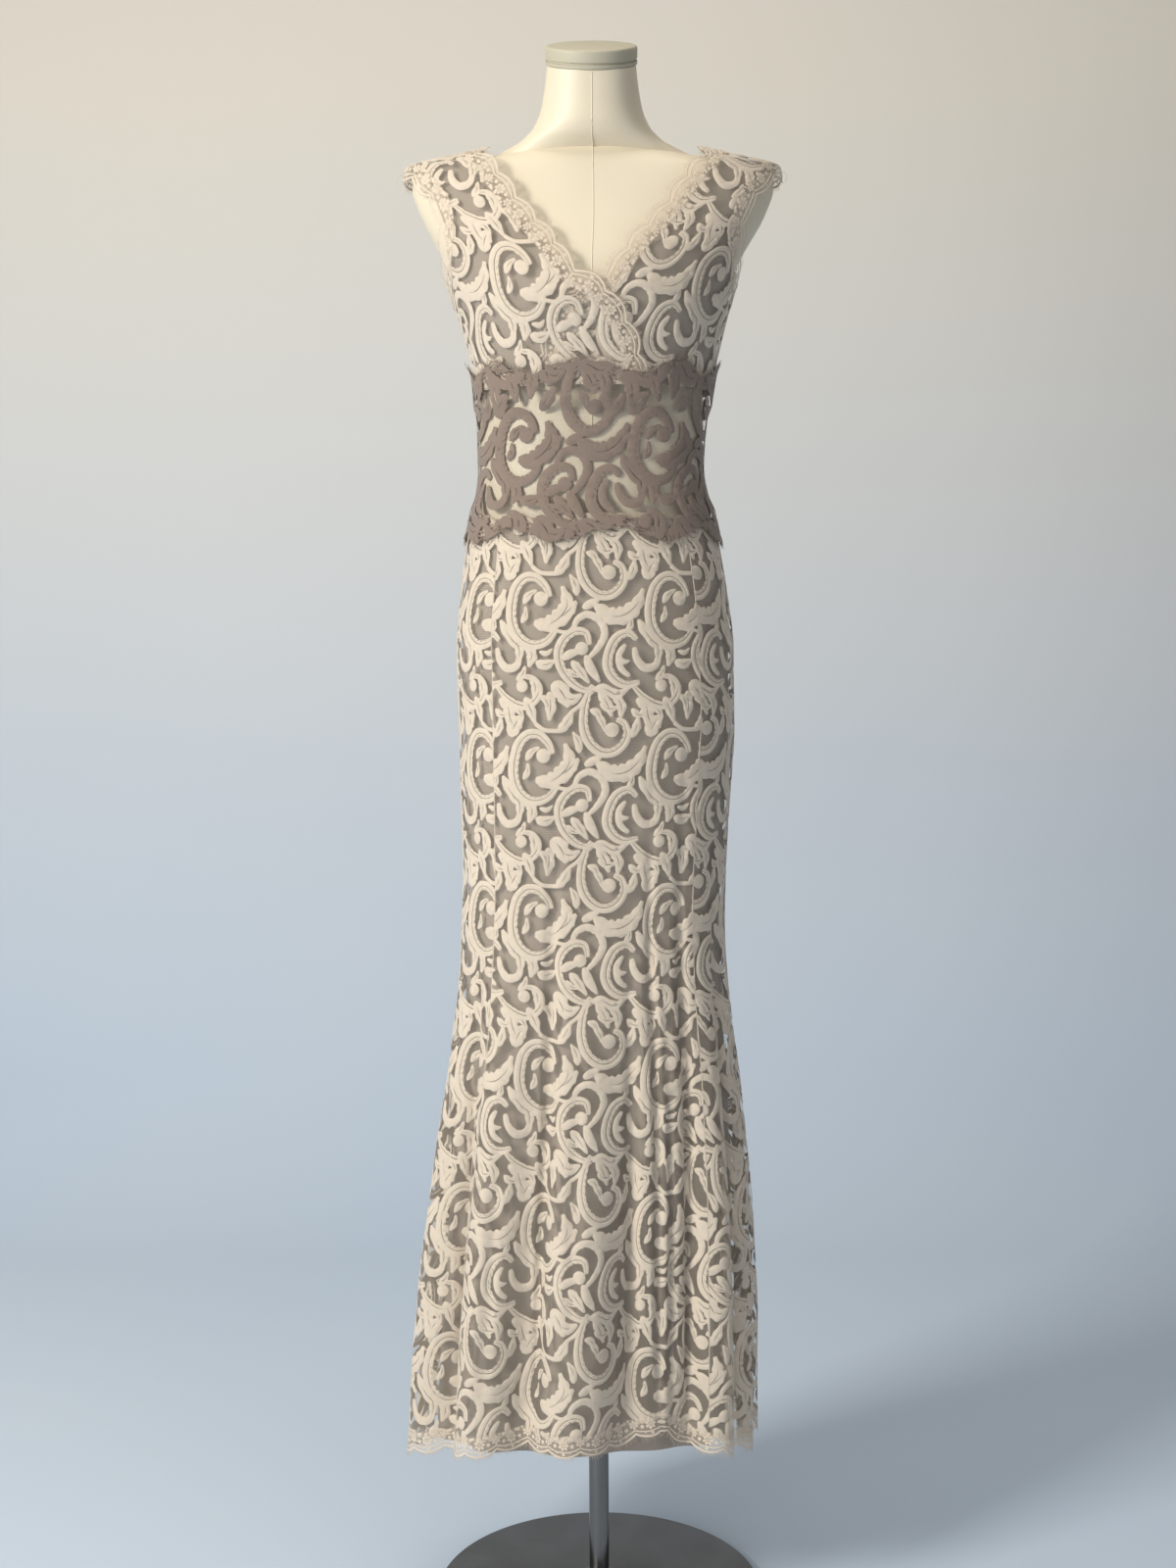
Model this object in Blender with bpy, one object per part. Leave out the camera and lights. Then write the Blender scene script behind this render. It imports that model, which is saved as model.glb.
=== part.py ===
"""Lace maxi dress, worn by a limbless dress form on a pole and a round steel base.

Units are metres and +Z is up. The origin is the middle of the base's underside. The wearer's front
faces -Y, so +X is the wearer's left. Every cloth piece is first drawn flat, as an angle round the
figure and a station down it, then meshed, laid on the worn surface and given its thickness.
"""

import math

import bmesh
import bpy
import numpy as np
from mathutils import Matrix
from mathutils.geometry import delaunay_2d_cdt

# Stand and form
BASE_RADIUS = 0.182
BASE_THICK = 0.010
BASE_EDGE = 0.0018
POLE_RADIUS = 0.0111
POLE_TOP = 0.975
FOOT_RADIUS = 0.026
FOOT_HEIGHT = 0.009
CAP_RADIUS = 0.0485
CAP_THICK = 0.019
CAP_TILT = math.radians(22)
FORM_INSET = 0.0088
FORM_SIDES = 20
FORM_FOOT = 0.950
SEAT_START = 0.03
SEAT_END = 0.11
SEAT = 0.0005
TOUCH = 0.0003

# Cloth walls, and how far each layer's inner face stands off the worn surface
LACE_THICK = 0.0011
EDGING_THICK = 0.0013
LINING_THICK = 0.0011
LACE_OFF = -0.0011
LINING_OFF = -0.0054
SHOULDER_DROP = 0.0016
HIP_DROP = 0.0020
OVERLAP_LIFT = 0.0036
OVERLAP_REACH = 48.0
OVERLAP_EASE = 24.0
BAND_LIFT = 0.0034
BAND_OVER_BODICE = 0.030
BAND_OVER_SKIRT = 0.024
BAND_SINK = 0.020
SEAM = 0.0005
EDGING_GAP = 0.0009

# The skirt's flare: stations are metres down the garment from the neck side of the shoulder
FLARE_TOP = 0.84
HEM_STATION = 1.42
LINING_GROWTH = 0.42
LINING_SLACK = 0.0075

# Hem heights above the floor
LACE_HEM_SIDE = 0.186
LACE_HEM_FRONT_RISE = 0.054
LACE_HEM_BACK_DROP = 0.010
LINING_HEM_FRONT = 0.206
LINING_HEM_BACK = 0.182
TUCK_ANGLE = 24.0
TUCK_HALF = 14.0
TUCK_RISE = 0.016

# Seams of the skirt, in degrees round from the centre front
FRONT_SEAM = 44.0
SIDE_SEAM = 90.0

# The worn surface. station: metres down from the shoulder's neck side, z: height, mid: sideways
# shift, half: half width, front and back: depths from the pole's axis.
WORN = np.array([
    # station, z, mid, half, front, back
    (-0.040, 1.615, 0.000, 0.070, 0.047, 0.0740),
    (0.000, 1.606, 0.001, 0.106, 0.051, 0.0765),
    (0.050, 1.597, 0.001, 0.152, 0.058, 0.0790),
    (0.105, 1.583, 0.001, 0.202, 0.067, 0.083),
    (0.135, 1.560, 0.001, 0.204, 0.078, 0.089),
    (0.165, 1.530, 0.001, 0.193, 0.090, 0.093),
    (0.195, 1.500, 0.000, 0.176, 0.103, 0.096),
    (0.225, 1.470, -0.001, 0.1605, 0.115, 0.097),
    (0.255, 1.440, 0.000, 0.1500, 0.119, 0.095),
    (0.295, 1.400, 0.001, 0.1385, 0.109, 0.090),
    (0.340, 1.355, 0.000, 0.1285, 0.095, 0.085),
    (0.390, 1.305, -0.002, 0.1245, 0.088, 0.081),
    (0.430, 1.265, -0.003, 0.1232, 0.087, 0.082),
    (0.470, 1.225, -0.002, 0.1295, 0.090, 0.088),
    (0.515, 1.180, -0.001, 0.1385, 0.096, 0.099),
    (0.565, 1.130, 0.000, 0.1460, 0.102, 0.111),
    (0.625, 1.070, 0.001, 0.1515, 0.106, 0.119),
    (0.695, 1.000, 0.002, 0.1515, 0.107, 0.118),
    (0.795, 0.900, 0.000, 0.1480, 0.106, 0.110),
    (0.875, 0.820, -0.002, 0.1455, 0.105, 0.105),
    (0.965, 0.730, -0.003, 0.1470, 0.108, 0.108),
    (1.055, 0.640, -0.003, 0.1530, 0.113, 0.116),
    (1.165, 0.530, -0.005, 0.1600, 0.118, 0.127),
    (1.325, 0.370, -0.010, 0.1660, 0.126, 0.142),
    (1.535, 0.160, -0.016, 0.1720, 0.134, 0.158),
])
SQUARE = 2.30

# Flutes that hang from the flare, each a swelling of the cloth between two valleys.
FLUTES = np.array([
    # angle, half width in degrees, out at the hem, overhang at the hem
    (-72.0, 17.5, 0.033, 0.0045),
    (-37.0, 17.5, 0.034, 0.0045),
    (-4.0, 15.5, 0.034, 0.0045),
    (24.0, 12.5, 0.007, 0.000),
    (49.5, 13.0, 0.030, 0.0040),
    (74.5, 12.0, 0.021, 0.0030),
    (101.0, 14.5, 0.030, 0.0040),
    (131.0, 15.5, 0.033, 0.0040),
    (162.0, 15.5, 0.031, 0.0040),
    (194.0, 16.5, 0.033, 0.0040),
    (225.5, 15.0, 0.030, 0.0040),
    (255.5, 15.0, 0.028, 0.0040),
])

# The form's neck: rings above the shoulders. tilt leans a ring's front down, in degrees.
NECK = np.array([
    # z, half, front, back, shift along y, tilt
    (1.688, 0.0470, 0.0465, 0.0465, -0.024, 22),
    (1.666, 0.0498, 0.0500, 0.0500, -0.017, 15),
    (1.643, 0.0545, 0.0550, 0.0560, -0.009, 8),
    (1.622, 0.0650, 0.0590, 0.0640, -0.003, 3),
    (1.608, 0.0810, 0.0560, 0.0690, 0.000, 0),
])
FORM_STATIONS = [
    0.010, 0.055, 0.100, 0.128, 0.160, 0.195, 0.225, 0.260,
    0.300, 0.350, 0.400, 0.440, 0.490, 0.550, 0.640, 0.715,
]
FORM_FOOT_SHRINK = 0.86

# Stations of the mesh's rows, one list for every layer so that their facets lie alike
ROWS = np.concatenate([
    np.arange(0.0, 0.33, 0.033),
    [0.352, 0.400, 0.450, 0.505, 0.580, 0.680, 0.780],
    np.arange(0.865, 1.5, 0.095),
])
FITTED_STEP = 11.25
FLARED_STEP = 5.0
LINING_STEP = 10.0
LINING_HEM_POINTS = 25
COLUMN_CLEAR = 3.0
ROW_CLEAR = 0.025
HEM_CLEAR = 0.8
FOLD_STRETCH = 4.5

# Bodice edges on the wearer's left, as (angle, station). The right side mirrors them.
NECK_FRONT = [
    (90, 0.018), (60, 0.030), (38, 0.078), (26, 0.126), (18.5, 0.169), (10, 0.209), (5, 0.236), (-1, 0.249),
]
NECK_BACK = [(90, 0.018), (114, 0.034), (136, 0.072), (156, 0.104), (180, 0.118)]
WRAP_OVER = [(-1, 0.249), (-4, 0.259), (-9, 0.278), (-14, 0.301), (-19, 0.330), (-21, 0.352)]
WRAP_UNDER = [(-1, 0.249), (-8, 0.263), (-16, 0.293), (-22, 0.327), (-24, 0.352)]
ARMHOLE_FRONT = [
    (90, 0.114), (72, 0.121), (60, 0.140), (55, 0.164), (60, 0.190), (72, 0.218), (81, 0.236), (90, 0.244),
]

# The lace's largest see-through gaps in one repeat, each a bent almond.
REPEAT_WIDE = 0.148
REPEAT_TALL = 0.164
GAPS = np.array([
    # across, up, length, width, turn, bend in degrees
    (0.0245, 0.1160, 0.042, 0.0125, 90, 40),
    (0.0970, 0.1560, 0.034, 0.0140, 105, -35),
    (0.1290, 0.0200, 0.030, 0.0140, 100, -25),
    (0.0500, 0.0300, 0.030, 0.0110, 90, -20),
])

# The waist band's own gaps, in a smaller repeat
BAND_REPEAT = 0.074
BAND_GAPS = np.array([
    # across, up, length, width, turn, bend in degrees
    (0.0150, 0.0500, 0.030, 0.0100, 80, 50),
    (0.0420, 0.0260, 0.028, 0.0090, 110, -45),
    (0.0640, 0.0560, 0.024, 0.0090, 60, 30),
])

# Scalloped edges: one scallop's length, how far it stands out, and the edging's width
SCALLOP = 0.036
SCALLOP_DEEP = 0.006
EDGING_WIDE = 0.019
LINING_BACK_OFF = 0.010

# Scallops on the waist band and the hem, in degrees
BAND_SCALLOP = 15.0
HEM_SCALLOP = 8.2

# Where the repeat starts on each piece: across from the middle, and station
BODICE_ORIGIN = (0.0, 0.03)
BAND_ORIGIN = (0.01, 0.33)
SKIRT_ORIGIN = 0.039
GORE_SHIFT = -0.0957

# Zip at the centre back, in metres
SLIDER_STATION = 0.1235
SLIDER_WIDE = 0.0052
SLIDER_LONG = 0.0090
SLIDER_THICK = 0.0020
SLIDER_LIFT = 0.0006
BRIDGE_WIDE = 0.0013
BRIDGE_LONG = 0.0068
BRIDGE_HIGH = 0.0032
BRIDGE_BAR = 0.0008
PULL_LONG = 0.0210
PULL_WIDE = 0.0048
PULL_THICK = 0.0009
PULL_AXIS = 0.0016
PULL_HEAD = 0.0006
PULL_CORNER = 0.0015
EYE_ABOVE = -0.0006
EYE_BELOW = 0.0012
EYE_SIDE = 0.0004

MATERIALS = {
    # name: colour, roughness, metallic
    "lace": ((0.69, 0.62, 0.52), 0.85, 0.0),
    "edging": ((0.76, 0.66, 0.55), 0.85, 0.0),
    "midriff_lace": ((0.40, 0.31, 0.26), 0.85, 0.0),
    "lining": ((0.36, 0.32, 0.29), 0.70, 0.0),
    "form": ((0.82, 0.76, 0.63), 0.45, 0.0),
    "steel": ((0.45, 0.44, 0.43), 0.30, 1.0),
    "zip": ((0.62, 0.55, 0.46), 0.35, 0.0),
}

# Flat drawing: across is angle times FLAT_RADIUS, up is minus the station. A grid point keeps
# clear of the outlines by GRID_CLEAR of its step.
FLAT_RADIUS = 0.150 * math.pi / 180
GRID_CLEAR = 0.37
RIM = SEAM / 2 / FLAT_RADIUS


def clear_scene():
    for obj in list(bpy.data.objects):
        bpy.data.objects.remove(obj)


def material(name):
    made = bpy.data.materials.get(name)
    if made is None:
        colour, rough, metal = MATERIALS[name]
        made = bpy.data.materials.new(name)
        made.use_nodes = True
        shader = made.node_tree.nodes["Principled BSDF"]
        shader.inputs["Base Color"].default_value = (*colour, 1)
        shader.inputs["Roughness"].default_value = rough
        shader.inputs["Metallic"].default_value = metal
    return made


def finish(name, bm, slot):
    """Turns a bmesh into the named object, smooth where it is round."""
    mesh = bpy.data.meshes.new(name)
    bm.to_mesh(mesh)
    bm.free()
    mesh.shade_smooth()
    mesh.set_sharp_from_angle(angle=math.radians(40))
    obj = bpy.data.objects.new(name, mesh)
    obj.data.materials.append(material(slot))
    bpy.context.scene.collection.objects.link(obj)
    return obj


def read_smooth(rows, at):
    """Each column of rows read at values of its first column, by a curve that doesn't overshoot."""
    x, y = rows[:, 0], rows[:, 1:]
    step = np.diff(x)[:, None]
    slope = np.diff(y, axis=0) / step
    tangent = np.zeros_like(y)
    before, after = slope[:-1], slope[1:]
    together = before * after > 0
    tangent[1:-1][together] = (2 * before * after)[together] / (before + after)[together]
    tangent[0], tangent[-1] = slope[0], slope[-1]
    at = np.clip(np.asarray(at, float), x[0], x[-1])
    k = np.clip(np.searchsorted(x, at) - 1, 0, len(x) - 2)
    t = ((at - x[k]) / step[k, 0])[:, None]
    h = step[k]
    return (
        y[k] * (1 + 2 * t) * (1 - t) ** 2
        + tangent[k] * h * t * (1 - t) ** 2
        + y[k + 1] * t**2 * (3 - 2 * t)
        + tangent[k + 1] * h * t**2 * (t - 1)
    )


def ease(x):
    x = np.clip(x, 0, 1)
    return x * x * (3 - 2 * x)


def flute_shape(angle):
    """How far each angle is pushed out and sideways by the flutes at the hem."""
    out, side = np.zeros_like(angle), np.zeros_like(angle)
    for middle, half, push, hang in FLUTES:
        x = ((angle - middle + 180) % 360 - 180) / half
        inside = np.abs(x) < 1
        out += np.where(inside, push * (1 + np.cos(np.pi * x)) / 2, 0)
        side += np.where(inside, hang * np.sin(np.pi * x), 0)
    return out, side


def section_point(angle, rows):
    """Points on the rounded section of each row (mid, half, front, back) at each angle."""
    a = np.radians(angle)
    across, along = np.sin(a), np.cos(a)
    depth = np.where(along > 0, rows[:, 2], rows[:, 3])
    x = rows[:, 0] + rows[:, 1] * np.sign(across) * np.abs(across) ** (2 / SQUARE)
    y = -depth * np.sign(along) * np.abs(along) ** (2 / SQUARE)
    return x, y


def worn_point(angle, station, layer):
    """Points of the worn surface. layer says which cloth hangs there, lace or lining."""
    rows = read_smooth(WORN, station)
    x, y = section_point(angle, rows[:, 1:])
    ax, ay = section_point(angle - 0.5, rows[:, 1:])
    bx, by = section_point(angle + 0.5, rows[:, 1:])
    along = np.stack([bx - ax, by - ay], 1)
    along /= np.linalg.norm(along, axis=1)[:, None]
    outward = np.stack([along[:, 1], -along[:, 0]], 1)
    grown = ease((station - FLARE_TOP) / (HEM_STATION - FLARE_TOP)) ** 1.15
    out, side = flute_shape(angle)
    if layer == "lining":
        out, side = LINING_GROWTH * out - LINING_SLACK, LINING_GROWTH * side
    shift = (outward * out[:, None] + along * side[:, None]) * grown[:, None]
    return np.stack([x + shift[:, 0], y + shift[:, 1], rows[:, 0]], 1)


def surface_normal(angle, station, layer="lace"):
    turn, drop = 0.6, 0.002
    across = worn_point(angle + turn, station, layer) - worn_point(angle - turn, station, layer)
    down = worn_point(angle, station + drop, layer) - worn_point(angle, station - drop, layer)
    normal = np.cross(down, across)
    return normal / np.maximum(np.linalg.norm(normal, axis=1), 1e-12)[:, None]


def worn(angle, station, off, layer="lace"):
    """Points that stand off the worn surface by off, along its normal."""
    angle, station = np.asarray(angle, float), np.asarray(station, float)
    off = np.broadcast_to(off, len(angle))[:, None]
    return worn_point(angle, station, layer) + surface_normal(angle, station, layer) * off


def station_of(height):
    """The station at which the worn surface has this height."""
    return np.interp(-np.asarray(height, float), -WORN[:, 1], WORN[:, 0])


SKIRT_TOP = float(station_of(1.214))
LINING_TOP = SKIRT_TOP + 0.004
BODICE_FOOT = float(station_of(1.346))
BAND_TOP = float(station_of(1.362))
BAND_FOOT = float(station_of(1.195))


def lace_hem(angle):
    """Station of the skirt's hem, higher in front than at the sides and back."""
    forward = np.cos(np.radians(angle))
    rise = LACE_HEM_FRONT_RISE * np.maximum(forward, 0) ** 1.2
    drop = LACE_HEM_BACK_DROP * np.maximum(-forward, 0)
    tuck = TUCK_RISE * np.clip(1 - np.abs(np.asarray(angle) - TUCK_ANGLE) / TUCK_HALF, 0, 1)
    return station_of(LACE_HEM_SIDE + rise - drop + tuck)


def lining_hem(angle):
    forward = np.cos(np.radians(angle))
    mean = (LINING_HEM_FRONT + LINING_HEM_BACK) / 2
    return station_of(mean + forward * (LINING_HEM_FRONT - LINING_HEM_BACK) / 2)


def overlap_lift(angle):
    """How much the right front rides up where it laps over the left one."""
    return OVERLAP_LIFT * ease((OVERLAP_REACH - np.abs(angle)) / OVERLAP_EASE)


def inside(points, outline):
    """Which points lie inside the outline."""
    x, y = points[:, 0], points[:, 1]
    found = np.zeros(len(points), bool)
    for (x0, y0), (x1, y1) in zip(outline, np.roll(outline, -1, axis=0)):
        if y0 != y1:
            found ^= ((y0 > y) != (y1 > y)) & (x < (x1 - x0) * (y - y0) / (y1 - y0) + x0)
    return found


def nearest(points, others):
    """Each point's distance to the nearest of the others."""
    gap = points[:, None, :] - np.asarray(others)[None, :, :]
    return np.sqrt((gap**2).sum(2)).min(1)


def flat_mesh(outline, holes, points, stretch=1):
    """A flat bmesh of triangles inside the outline, with the holes left open. All counter-clockwise.

    The drawing is stretched sideways while it is meshed, so that tall folds get tall triangles.
    """
    loops, start = [], 0
    for loop in (outline, *holes):
        loops.append(list(range(start, start + len(loop))))
        start += len(loop)
    spots = np.concatenate([outline, *holes, points]) * (stretch, 1)
    flat, _, faces, _, _, owners = delaunay_2d_cdt([tuple(p) for p in spots], [], loops, 1, 1e-7)
    bm = bmesh.new()
    verts = [bm.verts.new((x / stretch, y, 0)) for x, y in flat]
    for face, owner in zip(faces, owners):
        if owner == [0]:
            bm.faces.new([verts[i] for i in face])
    bmesh.ops.delete(bm, geom=[v for v in bm.verts if not v.link_faces], context="VERTS")
    return bm


def grid_points(edge, holes, wide_low):
    """Mesh points inside the flat outline, on the shared rows and clear of every edge."""
    found = []
    rows = np.append(ROWS, ROWS[-1])
    for station, after in zip(rows, rows[1:]):
        wide = FITTED_STEP if station < FLARE_TOP else wide_low
        reach = min(wide * FLAT_RADIUS, max(after - station, 0.03))
        found += [(c * wide * FLAT_RADIUS, -station, reach) for c in range(-80, 120)]
    found = np.array(found)
    keep = inside(found[:, :2], edge)
    for hole in holes:
        keep &= ~inside(found[:, :2], hole)
    found = found[keep]
    if len(found):
        found = found[nearest(found[:, :2], np.concatenate([edge, *holes])) > GRID_CLEAR * found[:, 2]]
    return found[:, :2]


def panel(
    name, outline, off, slot="lace", gaps=(), layer="lace", thick=LACE_THICK, wide_low=FLARED_STEP, stretch=1,
):
    """A cloth piece: drawn flat, meshed with its gaps left open, laid on the figure and walled.

    outline and gaps are lists of (angle, station). off(angle, station) is how far the inner face
    stands off the worn surface. wide_low is the mesh's step in degrees below the flare.
    """
    flatten = np.array([FLAT_RADIUS, -1])
    edge = np.array(outline, float) * flatten
    holes = [np.array(gap, float) * flatten for gap in gaps]
    bm = flat_mesh(edge, holes, grid_points(edge, holes, wide_low), stretch)
    angle_layer = bm.verts.layers.float.new("angle")
    station_layer = bm.verts.layers.float.new("station")
    for vert in bm.verts:
        vert[angle_layer], vert[station_layer] = vert.co.x / FLAT_RADIUS, -vert.co.y

    def lay(verts, extra):
        angle = np.array([v[angle_layer] for v in verts])
        station = np.array([v[station_layer] for v in verts])
        for vert, spot in zip(verts, worn(angle, station, off(angle, station) + extra, layer)):
            vert.co = spot

    lay(bm.verts, 0)
    bmesh.ops.remove_doubles(bm, verts=bm.verts, dist=1e-6)
    walled = bmesh.ops.extrude_face_region(bm, geom=bm.faces[:])
    lay([v for v in walled["geom"] if isinstance(v, bmesh.types.BMVert)], thick)
    bmesh.ops.recalc_face_normals(bm, faces=bm.faces)
    return finish(name, bm, slot)


def at_lace(angle, station):
    return np.full(len(angle), LACE_OFF)


def at_shoulder(station):
    return ease((0.19 - station) / 0.05)


def at_hip(station):
    return ease((station - 0.50) / 0.12)


def at_lining(angle, station):
    return LINING_OFF - SHOULDER_DROP * at_shoulder(station) - HIP_DROP * at_hip(station)


def at_overlap(angle, station):
    return LACE_OFF + overlap_lift(angle)


def at_band(angle, station):
    """The waist band lies over the ends of the bodice and the skirt, and sinks between them."""
    over_bodice = ease((BODICE_FOOT + BAND_OVER_BODICE - station) / BAND_SINK)
    over_bodice *= BAND_LIFT + overlap_lift(angle)
    over_skirt = ease((station - SKIRT_TOP + BAND_OVER_SKIRT) / BAND_SINK) * BAND_LIFT
    return LACE_OFF + over_bodice + over_skirt


def smooth_line(points, step=SCALLOP / 4, multiple=4):
    """A soft curve through (angle, station) points, with a multiple of four even steps."""
    pts = np.array(points, float) * (FLAT_RADIUS, 1)
    run = np.concatenate([[0], np.cumsum(np.linalg.norm(np.diff(pts, axis=0), axis=1))])
    count = multiple * max(1, round(run[-1] / step / multiple)) + 1
    found = read_smooth(np.column_stack([run, pts]), np.linspace(0, run[-1], count))
    return [(x / FLAT_RADIUS, y) for x, y in found]


def clipped(points, column, low, high):
    """The stretch of a line whose angle (column 0) or station (column 1) lies between two values."""
    found = []
    for here, ahead in zip(points, points[1:] + points[-1:]):
        if low <= here[column] <= high:
            found.append(tuple(here))
        for limit in (low, high):
            if min(here[column], ahead[column]) < limit < max(here[column], ahead[column]):
                t = (limit - here[column]) / (ahead[column] - here[column])
                found.append(tuple(np.array(here) + t * (np.array(ahead) - here)))
    return found


def straight(start, end, step):
    """Points from start to end, both kept."""
    (a0, s0), (a1, s1) = start, end
    count = max(1, round(math.hypot((a1 - a0) * FLAT_RADIUS, s1 - s0) / step))
    return [(a0 + (a1 - a0) * i / count, s0 + (s1 - s0) * i / count) for i in range(count + 1)]


def mirrored(points):
    return [(-a, s) for a, s in points]


def joined(*parts):
    """Stretches of an outline in a row, without the points that two of them share."""
    found = []
    for part in parts:
        found += [p for p in part if not found or math.dist(p, found[-1]) > 1e-9]
    return found if math.dist(found[0], found[-1]) > 1e-9 else found[:-1]


def beside(path, by, closed=False):
    """The path moved sideways on the cloth, to its left for a positive distance.

    Each point steps off in the surface's tangent plane, and is then brought back to the nearest
    angle and station by a few Newton steps.
    """
    pts = np.array(path, float)
    here = worn_point(pts[:, 0], pts[:, 1], "lace")
    if closed:
        ahead = np.roll(here, -1, axis=0) - np.roll(here, 1, axis=0)
    else:
        ahead = np.gradient(here, axis=0)
    left = np.cross(surface_normal(pts[:, 0], pts[:, 1]), ahead)
    left /= np.linalg.norm(left, axis=1)[:, None]
    target = here + left * np.broadcast_to(by, len(pts))[:, None]
    for _ in range(8):
        angle, station = pts.T
        wide = worn_point(angle + 0.5, station, "lace") - worn_point(angle - 0.5, station, "lace")
        tall = worn_point(angle, station + 0.001, "lace") - worn_point(angle, station - 0.001, "lace")
        tall /= 0.002
        miss = target - worn_point(angle, station, "lace")
        ww, wt, tt = (wide * wide).sum(1), (wide * tall).sum(1), (tall * tall).sum(1)
        mw, mt = (miss * wide).sum(1), (miss * tall).sum(1)
        area = ww * tt - wt * wt
        turn, drop = (mw * tt - mt * wt) / area, (mt * ww - mw * wt) / area
        pts = pts + np.column_stack([np.clip(turn, -3, 3), np.clip(drop, -0.01, 0.01)])
    return [tuple(p) for p in pts]


def counter_clockwise(points):
    pts = np.array(points) * (1, -1)
    ends = np.roll(pts, -1, axis=0)
    turn = (pts[:, 0] * ends[:, 1] - ends[:, 0] * pts[:, 1]).sum()
    return points if turn > 0 else points[::-1]


def scallops(count):
    """How far each of count points, four to a scallop, stands out."""
    return SCALLOP_DEEP * np.abs(np.sin(np.arange(count) * math.pi / 4)) ** 0.8


def almond(across, up, length, width, turn, bend, count=3):
    """One gap of the lace, flat: an almond bent round by bend degrees."""
    t = np.linspace(0, 1, count + 1)
    heading = np.radians(turn + bend * (t - 0.5))
    middle = (heading[1:] + heading[:-1]) / 2
    x = np.concatenate([[0], np.cumsum(np.cos(middle))]) * length / count
    y = np.concatenate([[0], np.cumsum(np.sin(middle))]) * length / count
    x, y = x - x.mean() + across, y - y.mean() + up
    half = width / 2 * np.sin(np.pi * t) ** 0.7
    left = np.stack([x - np.sin(heading) * half, y + np.cos(heading) * half], 1)
    right = np.stack([x + np.sin(heading) * half, y - np.cos(heading) * half], 1)
    return np.concatenate([right, left[-2:0:-1]])


def lace_gaps(outline, middle, origin, margin, rows=GAPS, wide=REPEAT_WIDE, tall=REPEAT_TALL):
    """Every repeat's gaps that lie inside an outline, clear of its edge by the margin.

    The repeat runs along the cloth, sideways from the angle middle, and origin is its corner.
    """
    edge = np.array(outline, float) * (FLAT_RADIUS, 1)
    low, high = np.array(outline)[:, 0].min(), np.array(outline)[:, 0].max()
    first, last = edge[:, 1].min(), edge[:, 1].max()
    angles = np.linspace(low, high, 121)
    found = []
    for j in range(math.floor((first - origin[1]) / tall) - 1, math.ceil((last - origin[1]) / tall) + 1):
        for row in rows:
            flat = almond(*row)
            station = origin[1] + (j + 1) * tall - flat[:, 1]
            if station.min() < first or station.max() > last:
                continue
            laid = worn_point(angles, np.full(len(angles), station.mean()), "lace")
            run = np.concatenate([[0], np.cumsum(np.linalg.norm(np.diff(laid, axis=0), axis=1))])
            run -= np.interp(middle, angles, run)
            for i in range(math.floor(run[0] / wide) - 1, math.ceil(run[-1] / wide) + 1):
                across = flat[:, 0] + i * wide + origin[0]
                if across.min() < run[0] or across.max() > run[-1]:
                    continue
                gap = np.column_stack([np.interp(across, run, angles) * FLAT_RADIUS, station])
                if inside(gap, edge).all() and nearest_side(gap, edge) > margin:
                    found.append(list(zip(gap[:, 0] / FLAT_RADIUS, gap[:, 1])))
    return found


def nearest_side(points, edge):
    """The least distance from the points to the outline's sides."""
    start, end = edge, np.roll(edge, -1, axis=0)
    along = end - start
    to = points[:, None, :] - start[None, :, :]
    t = np.clip((to * along).sum(2) / np.maximum((along**2).sum(1), 1e-12), 0, 1)
    return np.sqrt(((to - along * t[:, :, None]) ** 2).sum(2)).min()


def turned(name, profile, slot, sides):
    """A turned solid: profile is (radius, height), outside from the top down."""
    bm = bmesh.new()
    verts = [bm.verts.new((radius, 0, height)) for radius, height in profile]
    edges = [bm.edges.new(pair) for pair in zip(verts, verts[1:])]
    bmesh.ops.spin(
        bm, geom=verts + edges, cent=(0, 0, 0), axis=(0, 0, 1),
        angle=2 * math.pi, steps=sides, use_merge=True,
    )
    bmesh.ops.remove_doubles(bm, verts=bm.verts, dist=1e-6)
    bmesh.ops.recalc_face_normals(bm, faces=bm.faces)
    return finish(name, bm, slot)


def make_stand():
    turned("stand_base", [
        (0, BASE_THICK), (BASE_RADIUS - BASE_EDGE, BASE_THICK), (BASE_RADIUS, BASE_THICK - BASE_EDGE),
        (BASE_RADIUS, 0), (0, 0),
    ], "steel", 48)
    foot = BASE_THICK + TOUCH
    turned("stand_pole", [
        (0, POLE_TOP), (POLE_RADIUS, POLE_TOP), (POLE_RADIUS, foot + FOOT_HEIGHT),
        (FOOT_RADIUS - 0.003, foot + FOOT_HEIGHT - 0.001), (FOOT_RADIUS, foot + FOOT_HEIGHT - 0.004),
        (FOOT_RADIUS, foot), (0, foot),
    ], "steel", 20)


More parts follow.
